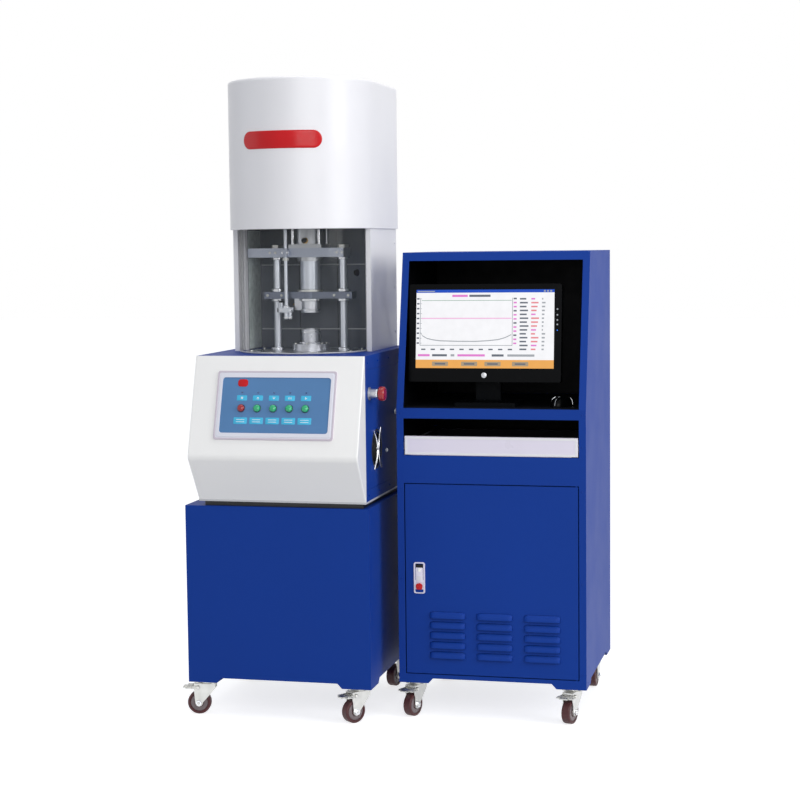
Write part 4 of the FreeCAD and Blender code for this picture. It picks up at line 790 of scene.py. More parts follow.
def make_floor():
    """Plain pale floor that keeps the shadow."""
    material, tree, shader = new_material("pale_floor")
    mottled = use_group(tree, "cloud", Scale=0.6, Detail=3)
    feed(tree, shader, {
        "Base Color": mix_colour(tree, mottled, (0.6, 0.6, 0.61, 1), (0.63, 0.63, 0.63, 1)),
        "Roughness": 0.7, "Specular IOR Level": 0.2, "Emission Color": (1, 1, 1, 1),
        "Emission Strength": math_node(tree, "MULTIPLY", seen_directly(tree), FLOOR_LIFT),
    })
    shape = bmesh.new()
    bmesh.ops.create_grid(shape, x_segments=2, y_segments=2, size=30)
    mesh = bpy.data.meshes.new("floor")
    shape.to_mesh(mesh)
    shape.free()
    mesh.materials.append(material)
    floor = new_object("floor", mesh)


def make_lights():
    """Key light from the right, a front light, a weak fill from the left and a top box."""
    area_light("key", (5.2, -1.7, 3.0), (3.0, 3.4), 146)
    area_light("front", (1.9, -5.4, 3.2), (3.2, 2.4), 98)
    area_light("fill", (-4.4, -1.6, 2.2), (2.4, 3.0), 14, (0.92, 0.94, 1))
    area_light("top", (0, 0.2, 5.2), (3.4, 2.6), 60)


bpy.context.scene.view_settings.view_transform = "Standard"
make_camera()
make_world()
make_floor()
make_lights()


# Fasteners that repeat, drawn with a head radius of 1 mm

def bolt_shape(piece):
    """Hexagon head on a washer."""
    piece.pin(1.28, -0.02, 0.18, ZINC, (0.08, 0.06), steps=24)
    piece.nut(1.0, 0.16, 0.85, ZINC, soft=0.1)


def cap_screw_shape(piece):
    """Round head with a socket."""
    profile = [(0, -0.02), (1, -0.02), (1, 0.8), (0.88, 0.95), (0.6, 0.95), (0.56, 0.4), (0, 0.4)]
    piece.turned(profile, ZINC, steps=24)


def pan_screw_shape(piece):
    """Low domed head with a cross."""
    piece.turned([(0, -0.02), (1, -0.02), (1, 0.18), (0.86, 0.4), (0.5, 0.56), (0, 0.6)], ZINC, steps=24)
    for turn in (0, 90):
        piece.box((-0.62, -0.11, 0.5), (0.62, 0.11, 0.64), ZINC, soft=0.04, place=swung(turn))


BOLT = pattern("bolt_pattern", bolt_shape)
CAP_SCREW = pattern("cap_screw_pattern", cap_screw_shape)
PAN_SCREW = pattern("pan_screw_pattern", pan_screw_shape)


# Head and tower

def round_front(node):
    """Radius and axis of a cover whose front is half a cylinder, the axis at its foot."""
    low, high = node_box(node)
    radius = (high.x - low.x) / 2
    return radius, Vector(((low.x + high.x) / 2, low.y + radius, low.z))


def head_badge():
    """Domed red pill that follows the head's round front."""
    radius, axis = round_front("head_cover")
    half_height, half_length = 28, 136
    off_centre, middle_z = -5, axis.z + 277
    thickness, edge = 3.4, 5
    seat = radius + 0.2
    along_steps, up_steps = 72, 18
    front, back = [], []
    for step in range(along_steps + 1):
        across = half_length * math.sin(math.pi * (step / along_steps - 0.5))
        end = max(0.0, abs(across) - (half_length - half_height))
        reach = math.sqrt(max(0.0, half_height ** 2 - end ** 2))
        angle = (across + off_centre) / radius
        rows = ([], [])
        for level in range(up_steps + 1):
            up = reach * math.sin(math.pi * (level / up_steps - 0.5))
            inset = max(0.0, half_height - math.hypot(end, up))
            rise = thickness * math.sqrt(max(0.0, 1 - (1 - min(inset, edge) / edge) ** 2))
            for row, out in zip(rows, (seat + rise, seat)):
                row.append((axis.x + out * math.sin(angle), axis.y - out * math.cos(angle), middle_z + up))
        front.append(rows[0])
        back.append(rows[1])
    piece = Piece("head_badge")
    piece.sheets([front, back], RED)
    return piece.done(sharp=60)


def head_seam():
    """Thin folded edge round the bottom of the head."""
    radius, axis = round_front("head_cover")
    back = node_box("head_cover")[1].y - 4
    out = radius - 1.2
    steps = 48
    arc = [(axis.x + out * math.cos(a), axis.y - out * math.sin(a), axis.z)
           for a in (math.pi * step / steps for step in range(steps + 1))]
    piece = Piece("head_bottom_fold")
    piece.tube([(axis.x + out, back, axis.z)] + arc + [(axis.x - out, back, axis.z)], 1.6, WHITE)
    return piece.done()


def head_back():
    """Ventilation slots and screws on the back of the head and column."""
    low, high = node_box("head_cover")
    centre = (low.x + high.x) / 2
    piece = Piece("head_back_vents", place=TESTER @ facing((centre, high.y, 0), -X, Y))
    slots, first, pitch, half_slot = 8, 70, 16, 70
    for row in range(slots):
        z = high.z - first - row * pitch
        # Black strip under each lip: painted shade for the slot's dark opening.
        piece.box((-half_slot, z - 2.5, -0.4), (half_slot, z + 2.5, 0.5), BLACK, soft=0.4)
        lip = rectangle(-half_slot - 2, z + 2.4, half_slot + 2, z + 6.5)
        piece.prism(lip, -0.2, 3.5, WHITE, soft=1.2)
    piece.done()
    head_reach = 215
    column_rows = (1210, 1360, 1510)
    places = [((centre + side * head_reach, high.y, z), Y) for side in (-1, 1)
              for z in (low.z + 30, (low.z + high.z) / 2, high.z - 40)]
    column_low, column_high = node_box("column_cover")
    places += [((x, column_high.y - 25, z), aim) for x, aim in ((column_low.x, -X), (column_high.x, X))
               for z in column_rows]
    repeated("head_screws", places, PAN_SCREW, WHITE, size=4)


def chamber_sides():
    """Frosted light panels on the chamber's two side walls, and seams on its back."""
    low, high = node_box("chamber_liner")
    sheet = 2
    low_seam, high_seam, side_seam = 62, 120, 140
    back = high.y - sheet
    piece = Piece("chamber_side_panels")
    for x in (low.x + sheet + 0.2, high.x - sheet - 1.2):
        piece.box((x, low.y + 4, low.z + 3), (x + 1, back - 2, high.z - 3), FROSTED, soft=0.3)
    piece.done()
    seams = Piece("chamber_back_seams")
    for z in (low.z + low_seam, high.z - high_seam):
        seams.box((low.x + 6, back - 1.6, z), (high.x - 6, back + 0.2, z + 4), GREY_LIGHT, soft=0.5)
    for x in (low.x + side_seam, high.x - side_seam):
        seams.box((x - 1.5, back - 0.8, low.z + 4), (x + 1.5, back + 0.2, high.z - 4), BLACK, soft=0.3)
    seams.done()


def guard_trim():
    """Edge strips, bottom rail and round pull of the curved guard."""
    low, high = node_box("guard")
    radius, axis = round_front("guard")
    line = radius - 2
    half_sweep, rail_steps = 86, 60
    piece = Piece("guard_trim", "guard_shield")
    for side in (-1, 1):
        x = axis.x + side * line
        piece.box((x - 3.2, axis.y - 10, low.z), (x + 3.2, axis.y - 1, high.z), GREY_LIGHT, soft=0.8)
    rail = [(axis.x + line * math.sin(a), axis.y - line * math.cos(a), low.z + 2.4)
            for a in (math.radians(half_sweep * (2 * step / rail_steps - 1))
                      for step in range(rail_steps + 1))]
    piece.tube(rail, 2.3, GREY_LIGHT)
    pull_angle, pull_height = math.radians(68), 1416
    out = Vector((math.sin(pull_angle), -math.cos(pull_angle), 0))
    seat = Vector((axis.x, axis.y, pull_height)) + out * (radius - 0.5)
    knob = [(0, -6), (9, -6), (9, -4.2), (5, -3.8), (5, 0), (10, 0), (11.5, 1), (11, 2.6), (8.5, 3), (0, 2.2)]
    piece.turned(knob, BLACK_PLASTIC, place=facing(seat, Z, out))
    return piece.done()


# Control panel

PANEL_LEAN = math.atan2(100, 312)
PANEL_THICKNESS = 4
FIELD_LEVEL = 3.2
LABEL_LEVEL = FIELD_LEVEL + 0.5
LAMP_ROW = 40.5
UPPER_LABEL_ROW = 23
BUTTON_ROW = -10
LOWER_LABEL_ROW = -49.5
SIGN_REACH = 4.2
SIGNS = {
    "stop": [rectangle(-3.4, -3.4, 3.4, 3.4)],
    "open": [[(-SIGN_REACH, -1), (SIGN_REACH, -1), (0, SIGN_REACH)],
             rectangle(-SIGN_REACH, -3.8, SIGN_REACH, -2.6)],
    "close": [[(0, -SIGN_REACH), (SIGN_REACH, 1), (-SIGN_REACH, 1)],
              rectangle(-SIGN_REACH, 2.6, SIGN_REACH, 3.8)],
    "heat": [rectangle(x, -3.6, x + 1.6, 3.6) for x in (-4.6, -0.8, 3)],
    "run": [[(-3, -SIGN_REACH), (SIGN_REACH, 0), (-3, SIGN_REACH)]],
}


def panel_frame():
    """Frame at the middle of the panel plate's back, with z out of its face."""
    normal = Vector((0, -math.cos(PANEL_LEAN), math.sin(PANEL_LEAN)))
    return TESTER @ facing(node_middle("control_panel") - normal * PANEL_THICKNESS / 2, X, normal)


PANEL = panel_frame()
COLUMNS = [node_middle("button_" + kind).x - node_middle("control_panel").x for kind in SIGNS]


def panel_trim():
    """Pale outline and silver frame round the blue field."""
    low, high = node_box("control_panel")
    width = high.x - low.x
    length = (high.z - low.z - PANEL_THICKNESS * math.sin(PANEL_LEAN)) / math.cos(PANEL_LEAN)

    def sheet(less_wide, less_long, radius):
        """Outline of the panel with its width and length cut down."""
        return rounded_rectangle(width - less_wide, length - less_long, radius)

    piece = Piece("panel_trim", place=PANEL)
    piece.rim(sheet(-2, -2, 7), sheet(9, 9, 7), -0.25, 4.7, LAVENDER, soft=0.6)
    piece.rim(sheet(8.6, 8.6, 7), sheet(16, 16, 7), 3.8, 4.3, PANEL_RIM)
    piece.rim(sheet(15, 15, 7), sheet(33, 40, 9), FIELD_LEVEL - 0.2, 5.1, PANEL_RIM, soft=0.6)
    return piece.done()


def panel_labels():
    """Cyan plates over and under the buttons with plain signs and bars, dark lamps and a red tab."""
    plates = Piece("panel_labels", place=PANEL)
    for column, kind in zip(COLUMNS, SIGNS):
        for row, width, height in ((UPPER_LABEL_ROW, 33, 17), (LOWER_LABEL_ROW, 44, 21)):
            plates.plate((column, row), (width, height, 2), FIELD_LEVEL - 0.1, LABEL_LEVEL, LABEL, 0.2)
        for outline in SIGNS[kind]:
            sign = [(column + x, UPPER_LABEL_ROW + y) for x, y in outline]
            plates.prism(sign, LABEL_LEVEL - 0.05, LABEL_LEVEL + 0.2, LABEL_TEXT)
        for shift in (3.5, -3.5):
            plates.plate((column, LOWER_LABEL_ROW + shift), (27, 2, 0.9), LABEL_LEVEL - 0.1,
                         LABEL_LEVEL + 0.1, LABEL_TEXT)
    plates.done()
    lamps = Piece("panel_lamps", place=PANEL)
    for column in COLUMNS:
        seat = moved(column, LAMP_ROW, FIELD_LEVEL)
        lamps.turned([(0, 0), (2.6, 0), (2.4, 1), (1.5, 1.9), (0, 2.2)], LAMP_DARK, place=seat, steps=20)
    lamps.done()
    corner, tab_size = (-109, 71), (33, 24, 9)
    lozenge = Piece("panel_lozenge", place=PANEL)
    lozenge.plate(corner, tab_size, FIELD_LEVEL - 0.1, FIELD_LEVEL + 0.9, RED, 0.4)
    lozenge.done()


def button_bezels():
    """Bezels round the push buttons, coloured a darkened panel blue as painted shade round each button."""
    piece = Piece("button_bezels", place=PANEL)
    profile = [(11.4, -0.2), (13.4, -0.2), (13.4, 0.8), (12.6, 1.6), (11.6, 1.8), (11.4, 1.4), (11.4, -0.2)]
    for column in COLUMNS:
        piece.turned(profile, SHADED_BEZEL, place=moved(column, BUTTON_ROW, FIELD_LEVEL))
    return piece.done()


# Right side of the tester

def wall_frame(y, z):
    """Frame on the tester body's right wall, with z outwards."""
    _, high = node_box("body_shell")
    return TESTER @ facing((high.x, y, z), Y, X)


def estop_trim():
    """Knurled ring nut of the emergency stop, and the cap and bead on its head."""
    low, high = node_box("estop_collar")
    middle = node_middle("estop_collar")
    place = wall_frame(middle.y, middle.z)
    bore, outside, grips = 15.2, 20, 36
    nut = Piece("estop_nut", place=place)
    profile = [(bore, 0), (outside, 0), (outside, 3.4), (18.5, 4.4), (bore, 4.4), (bore, 0)]
    nut.turned(profile, ALUMINIUM, steps=48)
    for step in range(grips):
        nut.box((outside - 0.4, -0.5, 0.4), (outside + 0.5, 0.5, 3.2), ALUMINIUM, soft=0.2,
                place=swung(360 * step / grips), segments=1)
    nut.turned([(bore, 26), (17, 26), (17, 29.6), (bore, 29.6), (bore, 26)], CHROME, steps=40)
    nut.done()
    travel, mushroom = 5, 18
    front = high.x - low.x + travel + mushroom
    head = Piece("estop_head_trim", "estop", place)
    cap = [(0, -0.6), (9, -0.6), (8.4, 0.5), (0, 0.9)]
    bead = [(21.6, -13), (22.7, -12.2), (22.7, -9.4), (21.6, -8.6), (21.6, -13)]
    for profile, steps in ((cap, 32), (bead, 48)):
        head.turned([(radius, front + level) for radius, level in profile], DEEP_RED, steps=steps)
    head.done()


def fan_unit():
    """Fan housing behind the wall and the bright wire guard in front of it."""
    rotor = node_middle("fan_rotor")
    piece = Piece("fan_unit", place=wall_frame(rotor.y, rotor.z))
    inside = node_box("fan_frame")[0].x - node_box("body_shell")[1].x
    housing, throat = 120, 57
    square = rounded_rectangle(housing, housing, 8, steps=9)
    circle = round_like(square, throat)
    piece.rim(square, circle, inside, inside + 4, BLACK_PLASTIC, soft=0.8)
    waist = rounded_rectangle(housing - 8, housing - 8, 30, steps=9)
    piece.rim(waist, circle, inside + 3, -5, BLACK_PLASTIC)
    piece.rim(square, circle, -6, -2.05, BLACK_PLASTIC, soft=0.8)
    for across, along in ((58, 4), (4, 58)):
        piece.box((-across, -along, inside), (across, along, inside + 3.9), BLACK_PLASTIC, soft=0.6)
    piece.ring(2.3, 19, inside + 0.1, inside + 4, BLACK_PLASTIC)
    ring_profile = [(throat + out, level) for out, level in
                    ((0.4, 0), (6, 0), (6, 1.6), (4.8, 2.4), (1.4, 2.4), (0.4, 1.6), (0.4, 0))]
    piece.turned(ring_profile, BLACK, steps=72)
    for radius in (47, 34, 21):
        piece.tube([(x, y, 2.6) for x, y in on_circle(radius, 64)], 1.0, BLACK, closed=True)
    for side in (-1, 1):
        bow = [(side * (5 + 38 * abs(share) ** 1.7), 62 * share, 4.6 - 1.6 * share ** 4)
               for share in (step / 12 - 1 for step in range(25))]
        piece.tube(bow, 4.2, CHROME, sides=12)
    piece.turned([(0, 0.8), (13, 0.8), (13, 4), (10, 6.2), (0, 7)], CHROME, steps=40)
    made = piece.done()
    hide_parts("fan_frame")


def side_fittings():
    """Bright screws and fittings on the tester body's side walls."""
    low, high = node_box("body_shell")
    rows = (low.z + 17.5, high.z - 22.5)
    columns = (30, 160, 300, 440, 570)
    places = [((x, y, z), aim) for x, aim in ((low.x, -X), (high.x, X)) for y in columns for z in rows]
    repeated("side_cover_screws", places, PAN_SCREW, BLUE, size=3.4)
    repeated("side_bright_screw", [((high.x, 255, 842), X)], BOLT, CHROME, size=6)
    piece = Piece("side_push_fittings", place=wall_frame(382, 957))
    for shift in (-14, 14):
        seat = moved(shift)
        piece.nut(8.5, 0, 6, CHROME, soft=0.7, place=seat)
        piece.pin(6.4, 6, 13, CHROME, (0.8, 1), seat, steps=28)
        piece.ring(3.2, 5.2, 12.8, 14.4, BLACK_PLASTIC, place=seat, steps=28)
    piece.done()


# Back of both units

VENT_PITCH = 14
VENT_HEIGHT = 5
EDGE_GAP = 14


def vent_levels(vents):
    """Left end, right end and bottom of each slot in groups of (left, right, start, count)."""
    return [(left, right, start + row * VENT_PITCH) for left, right, start, count in vents
            for row in range(count)]


def edge_spots(width, low, high):
    """Places of eight screws round a plate's edge."""
    middle = (low + high) / 2
    spots = [(x, y) for x in (EDGE_GAP - width / 2, 0, width / 2 - EDGE_GAP)
             for y in (low + EDGE_GAP, middle, high - EDGE_GAP)]
    return [spot for spot in spots if spot != (0, middle)]


def rear_panel(name, place, width, low, high, vents):
    """Service plate with rounded corners, vent slots with pressed lips and screws round its edge."""
    thickness = 1.8
    piece = Piece(name, place=place)
    piece.plate((0, (low + high) / 2), (width, high - low, 10), -0.2, thickness, BLUE, 0.6)
    piece.place = place @ moved(z=thickness)
    for left, right, y in vent_levels(vents):
        # Black strip under each pressed lip: painted shade for the slot's dark opening.
        piece.box((left, y, -0.3), (right, y + VENT_HEIGHT, 0.6), BLACK, soft=0.4)
        piece.box((left - 2, y + 4.6, -0.2), (right + 2, y + 8, 3), BLUE, soft=1.2)
    piece.done()
    spots = [((x, y, thickness), Z) for x, y in edge_spots(width, low, high)]
    repeated(name + "_screws", spots, PAN_SCREW, ZINC, unit=place, size=4)


def flush_panel(name, place, width, low, high, vents, hole=None):
    """Panel let in level with its wall: a dark seam, sunk screws, and dark vent slots, a cable hole and screw
    slots that are flat black patches of painted shade.
    """
    middle = (low + high) / 2
    sunk, proud = -0.2, 0.08
    piece = Piece(name, place=place)
    outline, inner = ([(x, y + middle) for x, y in
                       rounded_rectangle(width - cut, high - low - cut, 10 - cut / 2)] for cut in (0, 4))
    piece.rim(outline, inner, sunk, proud, BLACK)
    # Flat black slots: painted shade for the vent openings.
    for left, right, y in vent_levels(vents):
        piece.box((left, y, sunk), (right, y + VENT_HEIGHT, proud), BLACK)
    # The cable hole is a flat black disc, painted shade for the opening.
    if hole:
        piece.pin(28, sunk, proud, BLACK_PLASTIC, place=moved(*hole), steps=48)
    piece.done()
    screws = Piece(name + "_screws", place=place)
    for x, y in edge_spots(width, low, high):
        screws.pin(4, sunk, proud, ZINC, place=moved(x, y), steps=24)
        # Thin black bar across each screw head: painted shade in its slot.
        screws.box((x - 3, y - 0.5, proud - 0.02), (x + 3, y + 0.5, proud + 0.02), BLACK)
    screws.done()


def back_frame(node, unit=TESTER, x=None):
    """Frame on a node's back, at its middle unless another x is given, with z outwards."""
    _, high = node_box(node, unit)
    middle = node_middle(node, unit).x if x is None else x
    return unit @ facing((middle, high.y, 0), -X, Y)


def rear_details():
    """Service plates on both backs."""
    rear_panel("body_rear_plate", back_frame("body_shell", x=200), 250, 745, 1115,
               [(-90, 90, 790, 9), (-90, 90, 950, 9)])
    rear_panel("cabinet_rear_plate", back_frame("tester_cabinet"), 520, 165, 655,
               [(-200, -40, 200, 7), (40, 200, 200, 7)])
    back = back_frame("computer_cabinet", COMPUTER)
    flush_panel("computer_rear_plate", back, 520, 175, 820,
                [(-200, -40, 230, 9), (40, 200, 230, 9), (-80, 80, 700, 5)])
    flush_panel("computer_rear_bay_plate", back, 520, 1020, 1440, [(-90, 90, 1350, 5)], (170, 1080))


def inlet_details():
    """Fitting on the air port, pins in the mains socket and screws on the inlet plate."""
    middle = node_middle("inlet_panel")
    face = node_box("inlet_panel")[0].y + 3
    place = TESTER @ facing((middle.x, face, middle.z), -X, Y)
    port, socket = 40, -37
    piece = Piece("inlet_fittings", place=place)
    piece.nut(17, 0, 7, BRASS, hole=12.2, soft=0.8, place=moved(port))
    piece.ring(6, 11, 12, 13.6, BRASS, place=moved(port))
    for shift, height in ((-8, 0), (0, 2.5), (8, 0)):
        x = socket + shift
        piece.box((x - 1, height - 3.2, 2.2), (x + 1, height + 3.2, 8.4), CHROME, soft=0.3)
    piece.box((socket - 23, -14, 8.2), (socket + 23, -10.4, 8.9), BLACK_PLASTIC, soft=0.3)
    piece.done()
    spots = [((x, y, 0), Z) for x in (-70, 70) for y in (-40, 40)]
    repeated("inlet_plate_screws", spots, PAN_SCREW, ZINC, unit=place, size=4)


# Press

PRESS_X = node_middle("lower_die").x
PRESS_Y = node_middle("crosshead").y
DECK = node_box("body_shell")[1].z
POSTS = (PRESS_X - 113.5, PRESS_X + 113.5)
ON_AXIS = moved(PRESS_X, PRESS_Y)
TABLE_Y = 300


def press_details():
    """Collars and nuts of the press frame, the cylinder's rods and fittings, and what is screwed down."""
    cylinder_low, cylinder_high = node_box("air_cylinder")
    beam_bottom, beam_top = cylinder_low.z + 13, cylinder_low.z + 43
    post_bore, rod_spread = 12.7, 45
    piece = Piece("press_collars")
    for post in POSTS:
        seat = moved(post, PRESS_Y)
        piece.ring(post_bore, 22, DECK, DECK + 9, CHROME, soft=1.2, place=seat)
        piece.ring(post_bore, 18, beam_bottom - 8, beam_bottom, CHROME, soft=1.2, place=seat)
        piece.nut(19, beam_top, beam_top + 11, ZINC, hole=9.6, soft=1, place=seat)
    piece.done()
    rods = Piece("cylinder_tie_rods")
    for across in (-rod_spread, rod_spread):
        for along in (-rod_spread, rod_spread):
            seat = moved(PRESS_X + across, PRESS_Y + along)
            rods.pin(5, beam_top + 12, cylinder_high.z - 12, CHROME, place=seat, steps=20)
            rods.nut(10, cylinder_high.z, cylinder_high.z + 8, ZINC, soft=0.8, place=seat)
    for z in (beam_top + 24, cylinder_high.z - 24):
        rods.place = TESTER @ facing((PRESS_X, PRESS_Y - 49, z), X, -Y)
        rods.nut(11, 0, 8, BRASS, soft=0.8)
        rods.pin(8, 8, 21, BLACK_PLASTIC, (1, 1), steps=24)
    rods.done()
    beam_face, beam_middle = PRESS_Y - 45, (beam_bottom + beam_top) / 2
    spots = [((post + shift, beam_face, beam_middle), -Y) for post in POSTS for shift in (-9, 9)]
    repeated("beam_screws", spots, CAP_SCREW, ZINC, size=4.2)
    for name, radius, count, y, z, size in (("base_disc_screws", 52, 6, PRESS_Y, DECK + 20, 4),
                                            ("table_screws", 182, 8, TABLE_Y, DECK, 5)):
        spots = [((PRESS_X + across, y + along, z), Z) for across, along in on_circle(radius, count, 0.5)]
        repeated(name, spots, CAP_SCREW, ZINC, size=size)


def table_rim():
    """Polished step round the press table."""
    piece = Piece("table_rim")
    seat = moved(PRESS_X, TABLE_Y)
    piece.ring(150, 168, DECK - 0.2, DECK + 2.2, CHROME, soft=0.8, place=seat, steps=96)
    return piece.done()


def die_details():
    """Clamp rings and screws on the two dies, and the heater terminals that move with the upper one."""
    low, high = node_box("lower_die")
    bore = 31.1
    lower = Piece("lower_die_rings")
    lower.ring(bore, 40, low.z + 20, low.z + 27, CHROME, soft=1, place=ON_AXIS, steps=56)
    lower.ring(bore, 33.6, high.z - 12, high.z - 6, CHROME, soft=0.8, place=ON_AXIS, steps=56)
    lower.done()
    left = node_box("upper_die")[0].x
    face = node_box("crosshead")[0].z
    upper = Piece("upper_die_rings", "press_ram")
    upper.ring(bore, 40, face - 8, face, CHROME, soft=1, place=ON_AXIS, steps=56)
    upper.ring(bore, 33.6, face - 40, face - 34, CHROME, soft=0.8, place=ON_AXIS, steps=56)
    for post in POSTS:
        for start, end in ((face - 9, face), (face + 22, face + 33)):
            upper.ring(12.75, 20, start, end, CHROME, soft=1.2, place=moved(post, PRESS_Y))
    upper.ring(33.2, 42, face + 22, face + 30, ZINC, soft=1, place=ON_AXIS, steps=56)
    upper.box((left - 1.4, PRESS_Y - 17, face - 34), (left + 0.2, PRESS_Y + 17, face - 4), GLOSS_BLACK,
              soft=0.5)
    for shift in (-9, 9):
        terminal = facing((left - 1.2, PRESS_Y + shift, face - 19), Y, -X)
        upper.nut(4.4, 0, 3.4, BRASS, soft=0.4, place=terminal)
        upper.pin(1.9, 3, 7.6, BRASS, (0.5, 0.6), terminal, steps=16)
    upper.done()
    spots = [((PRESS_X + shift, PRESS_Y - 30, face + 11), -Y) for shift in (-138, -90, 90, 138)]
    repeated("crosshead_screws", spots, CAP_SCREW, ZINC, body="press_ram", size=4.4)


def probe_details():
    """Clamp screws and bright tips of the probe."""
    rod_x, rod_y = 256, 297
    seat = moved(rod_x, rod_y)
    piece = Piece("probe_trim")
    tip = [(0, 1262.4), (4.6, 1262.4), (7.6, 1266), (7.6, 1272), (0, 1272)]
    for shift in (-1, 13):
        piece.turned(tip, CHROME, place=moved(rod_x + shift, rod_y), steps=28)
    sleeve = [(5.2, 1318), (8, 1318), (8, 1324), (5.2, 1324), (5.2, 1318)]
    piece.turned(sleeve, BLACK_PLASTIC, place=moved(rod_x - 17, rod_y), steps=24)
    piece.ring(6.1, 10, 1300, 1308, CHROME, place=seat)
    piece.ring(6.1, 11, 1455, 1464, ZINC, place=seat)
    piece.box((rod_x - 27.4, rod_y - 14, 1287), (rod_x - 24, rod_y + 10, 1301), GLOSS_BLACK, soft=1)
    piece.done()
    spots = [((rod_x + across, rod_y + along, z), -Y)
             for across, along, z in ((18, -12, 1294), (-14, -12, 1294), (8, -8, 1481), (-8, -8, 1481))]
    repeated("probe_screws", spots, CAP_SCREW, CHROME, size=3.6)


# Castors

FORK_OUTSIDE = 18.5
AXLE_HEAD = 4
PEDAL_REACH = 80
PLATE_UNDERSIDE = 109
BOLT_SPREAD = 27
SPOKES = 6


def castor_details():
    """Nuts, hub discs and pedal ribs on the eight castors."""
    plate_bolts = []
    for joint in frame["joints"]:
        if not joint["name"].endswith("_swivel"):
            continue
        body = joint["child"]
        name = body.replace("_castor_", "_")
        wheel_body = body.replace("_castor_", "_roller_")
        pivot = joint_place(joint["name"])
        axle = joint_place(wheel_body + "_roll")
        axis = Vector(JOINTS[wheel_body + "_roll"]["axis"]).normalized()
        trail = Vector((axle.x - pivot.x, axle.y - pivot.y, 0)).normalized()
        plate_bolts += [((pivot.x + across, pivot.y + along, PLATE_UNDERSIDE), -Z)
                        for across in (-BOLT_SPREAD, BOLT_SPREAD) for along in (-BOLT_SPREAD, BOLT_SPREAD)]
        fork = Piece(name + "_axle_nuts", body)
        for side in (-1, 1):
            seat = facing(axle + axis * side * (FORK_OUTSIDE + 0.2), trail, axis * side)
            fork.nut(9.6, 0, AXLE_HEAD + 2.2, CHROME, hole=4.2, soft=0.8, place=seat)
            fork.pin(4.1, AXLE_HEAD - 1, AXLE_HEAD + 5, ZINC, (0.9, 1), seat, steps=20)
        fork.ring(22.4, 26, 99.4, 101.6, ZINC, place=facing((pivot.x, pivot.y, 0), trail, Z))
        fork.done()
        wheel = Piece(name + "_wheel_hub", wheel_body)
        disc = [(14.4, 10.8), (27.4, 10.8), (27.4, 11.9), (25.8, 12.6), (16, 12.6), (14.4, 11.9),
                (14.4, 10.8)]
        for side in (-1, 1):
            seat = facing(axle, trail, axis * side)
            wheel.turned(disc, HUB, place=seat, steps=48)
            wheel.ring(4.4, 12.4, 13.6, 14.5, ZINC, place=seat)
            for spoke in range(SPOKES):
                wheel.box((15, -1.3, 12.3), (27, 1.3, 13.4), HUB, soft=0.4,
                          place=seat @ swung(360 * spoke / SPOKES), segments=1)
        wheel.done()
        brake = body.replace("_castor_", "_brake_")
        if brake + "_tread" in JOINTS:
            pedal_details(name, brake, pivot, trail)
    repeated("castor_plate_bolts", plate_bolts, BOLT, ZINC, size=5.4)


def pedal_details(name, brake, pivot, trail):
    """Tread ribs, lip and pivot nuts of the brake pedal."""
    height = joint_place(brake + "_tread").z
    piece = Piece(name + "_pedal_trim", brake, TESTER @ facing((pivot.x, pivot.y, height), trail, Z))
    piece.box((50, -27.5, 0.6), (69.5, 27.5, 2.6), PEDAL, soft=0.8)
    for x in (53, 57, 61, 65):
        piece.box((x - 1, -24, 2.2), (x + 1, 24, 3.6), PEDAL, soft=0.5)
    piece.box((68.5, -13.5, -1.6), (PEDAL_REACH - 0.4, 13.5, 2.4), PEDAL, soft=0.9)
    for side in (-1, 1):
        nut = facing((30, side * (FORK_OUTSIDE + 3.4), 0), X, Y * side)
        piece.turned([(0, 0), (6, 0), (6, 2), (4.6, 3.2), (0, 3.4)], ZINC, place=nut, steps=20)
    piece.done()


for make in (head_badge, head_seam, head_back, chamber_sides, guard_trim, panel_trim, panel_labels,
             button_bezels, estop_trim, fan_unit, side_fittings, rear_details, inlet_details,
             press_details, table_rim, die_details, probe_details, castor_details):
    make()


# Computer unit

CABINET_WIDTH = 600
CABINET_DEPTH = 600
SHELF = 990
CEILING = 1476
SLOPE_BACK = 109
WALL = 2.2
CABINET_MIDDLE = CABINET_WIDTH / 2


def front_frame(x, y, z):
    """Local frame at a point of the computer unit, with z towards the user."""
    return facing((x, y, z), X, -Y)


def bay_lining():
    """Near-black sheets on the monitor bay's walls, ceiling and shelf: painted shade for the dark inside of the
    bay.
    """
    right, back = CABINET_WIDTH - WALL - 1, CABINET_DEPTH - WALL - 1
    piece = Piece("bay_lining", place=COMPUTER)
    side = [(8, SHELF + 0.4), (back + 0.8, SHELF + 0.4), (back + 0.8, CEILING - 0.4),
            (SLOPE_BACK + 6, CEILING - 0.4)]
    for x in (WALL, right):
        piece.prism(side, 0, 1, PAINTED_SHADE, place=facing((x, 0, 0), Y, X))
    piece.box((WALL + 1, back, SHELF + 1.2), (right, back + 1, CEILING - 1.4), PAINTED_SHADE)
    piece.box((WALL + 1, SLOPE_BACK + 8, CEILING - 1.4), (right, back, CEILING - 0.4), PAINTED_SHADE)
    piece.box((WALL + 1, 12, SHELF + 0.15), (right, back, SHELF + 0.65), PAINTED_SHADE)
    piece.done()


def gap_painted_shade():
    """Near-black sheets in the space round the drawer and on its runners' tops: painted shade for the dark gap."""
    right, back, top = CABINET_WIDTH - WALL - 1, CABINET_DEPTH - WALL - 1, SHELF - 3
    gap = Piece("keyboard_gap_lining", place=COMPUTER)
    gap.box((WALL + 1, back, 842), (right, back + 1, top), PAINTED_SHADE)
    gap.box((WALL, 505, 903), (right + 1, 506, top), PAINTED_SHADE)
    runner = node_box("drawer_runners", COMPUTER)[1].z
    for x in (WALL, right):
        gap.box((x, 14, runner + 0.4), (x + 1, back, top), PAINTED_SHADE)
    for x in (WALL + 1, right - 22):
        gap.box((x, 14, runner + 0.1), (x + 22, 500, runner + 0.6), PAINTED_SHADE)
    gap.done()


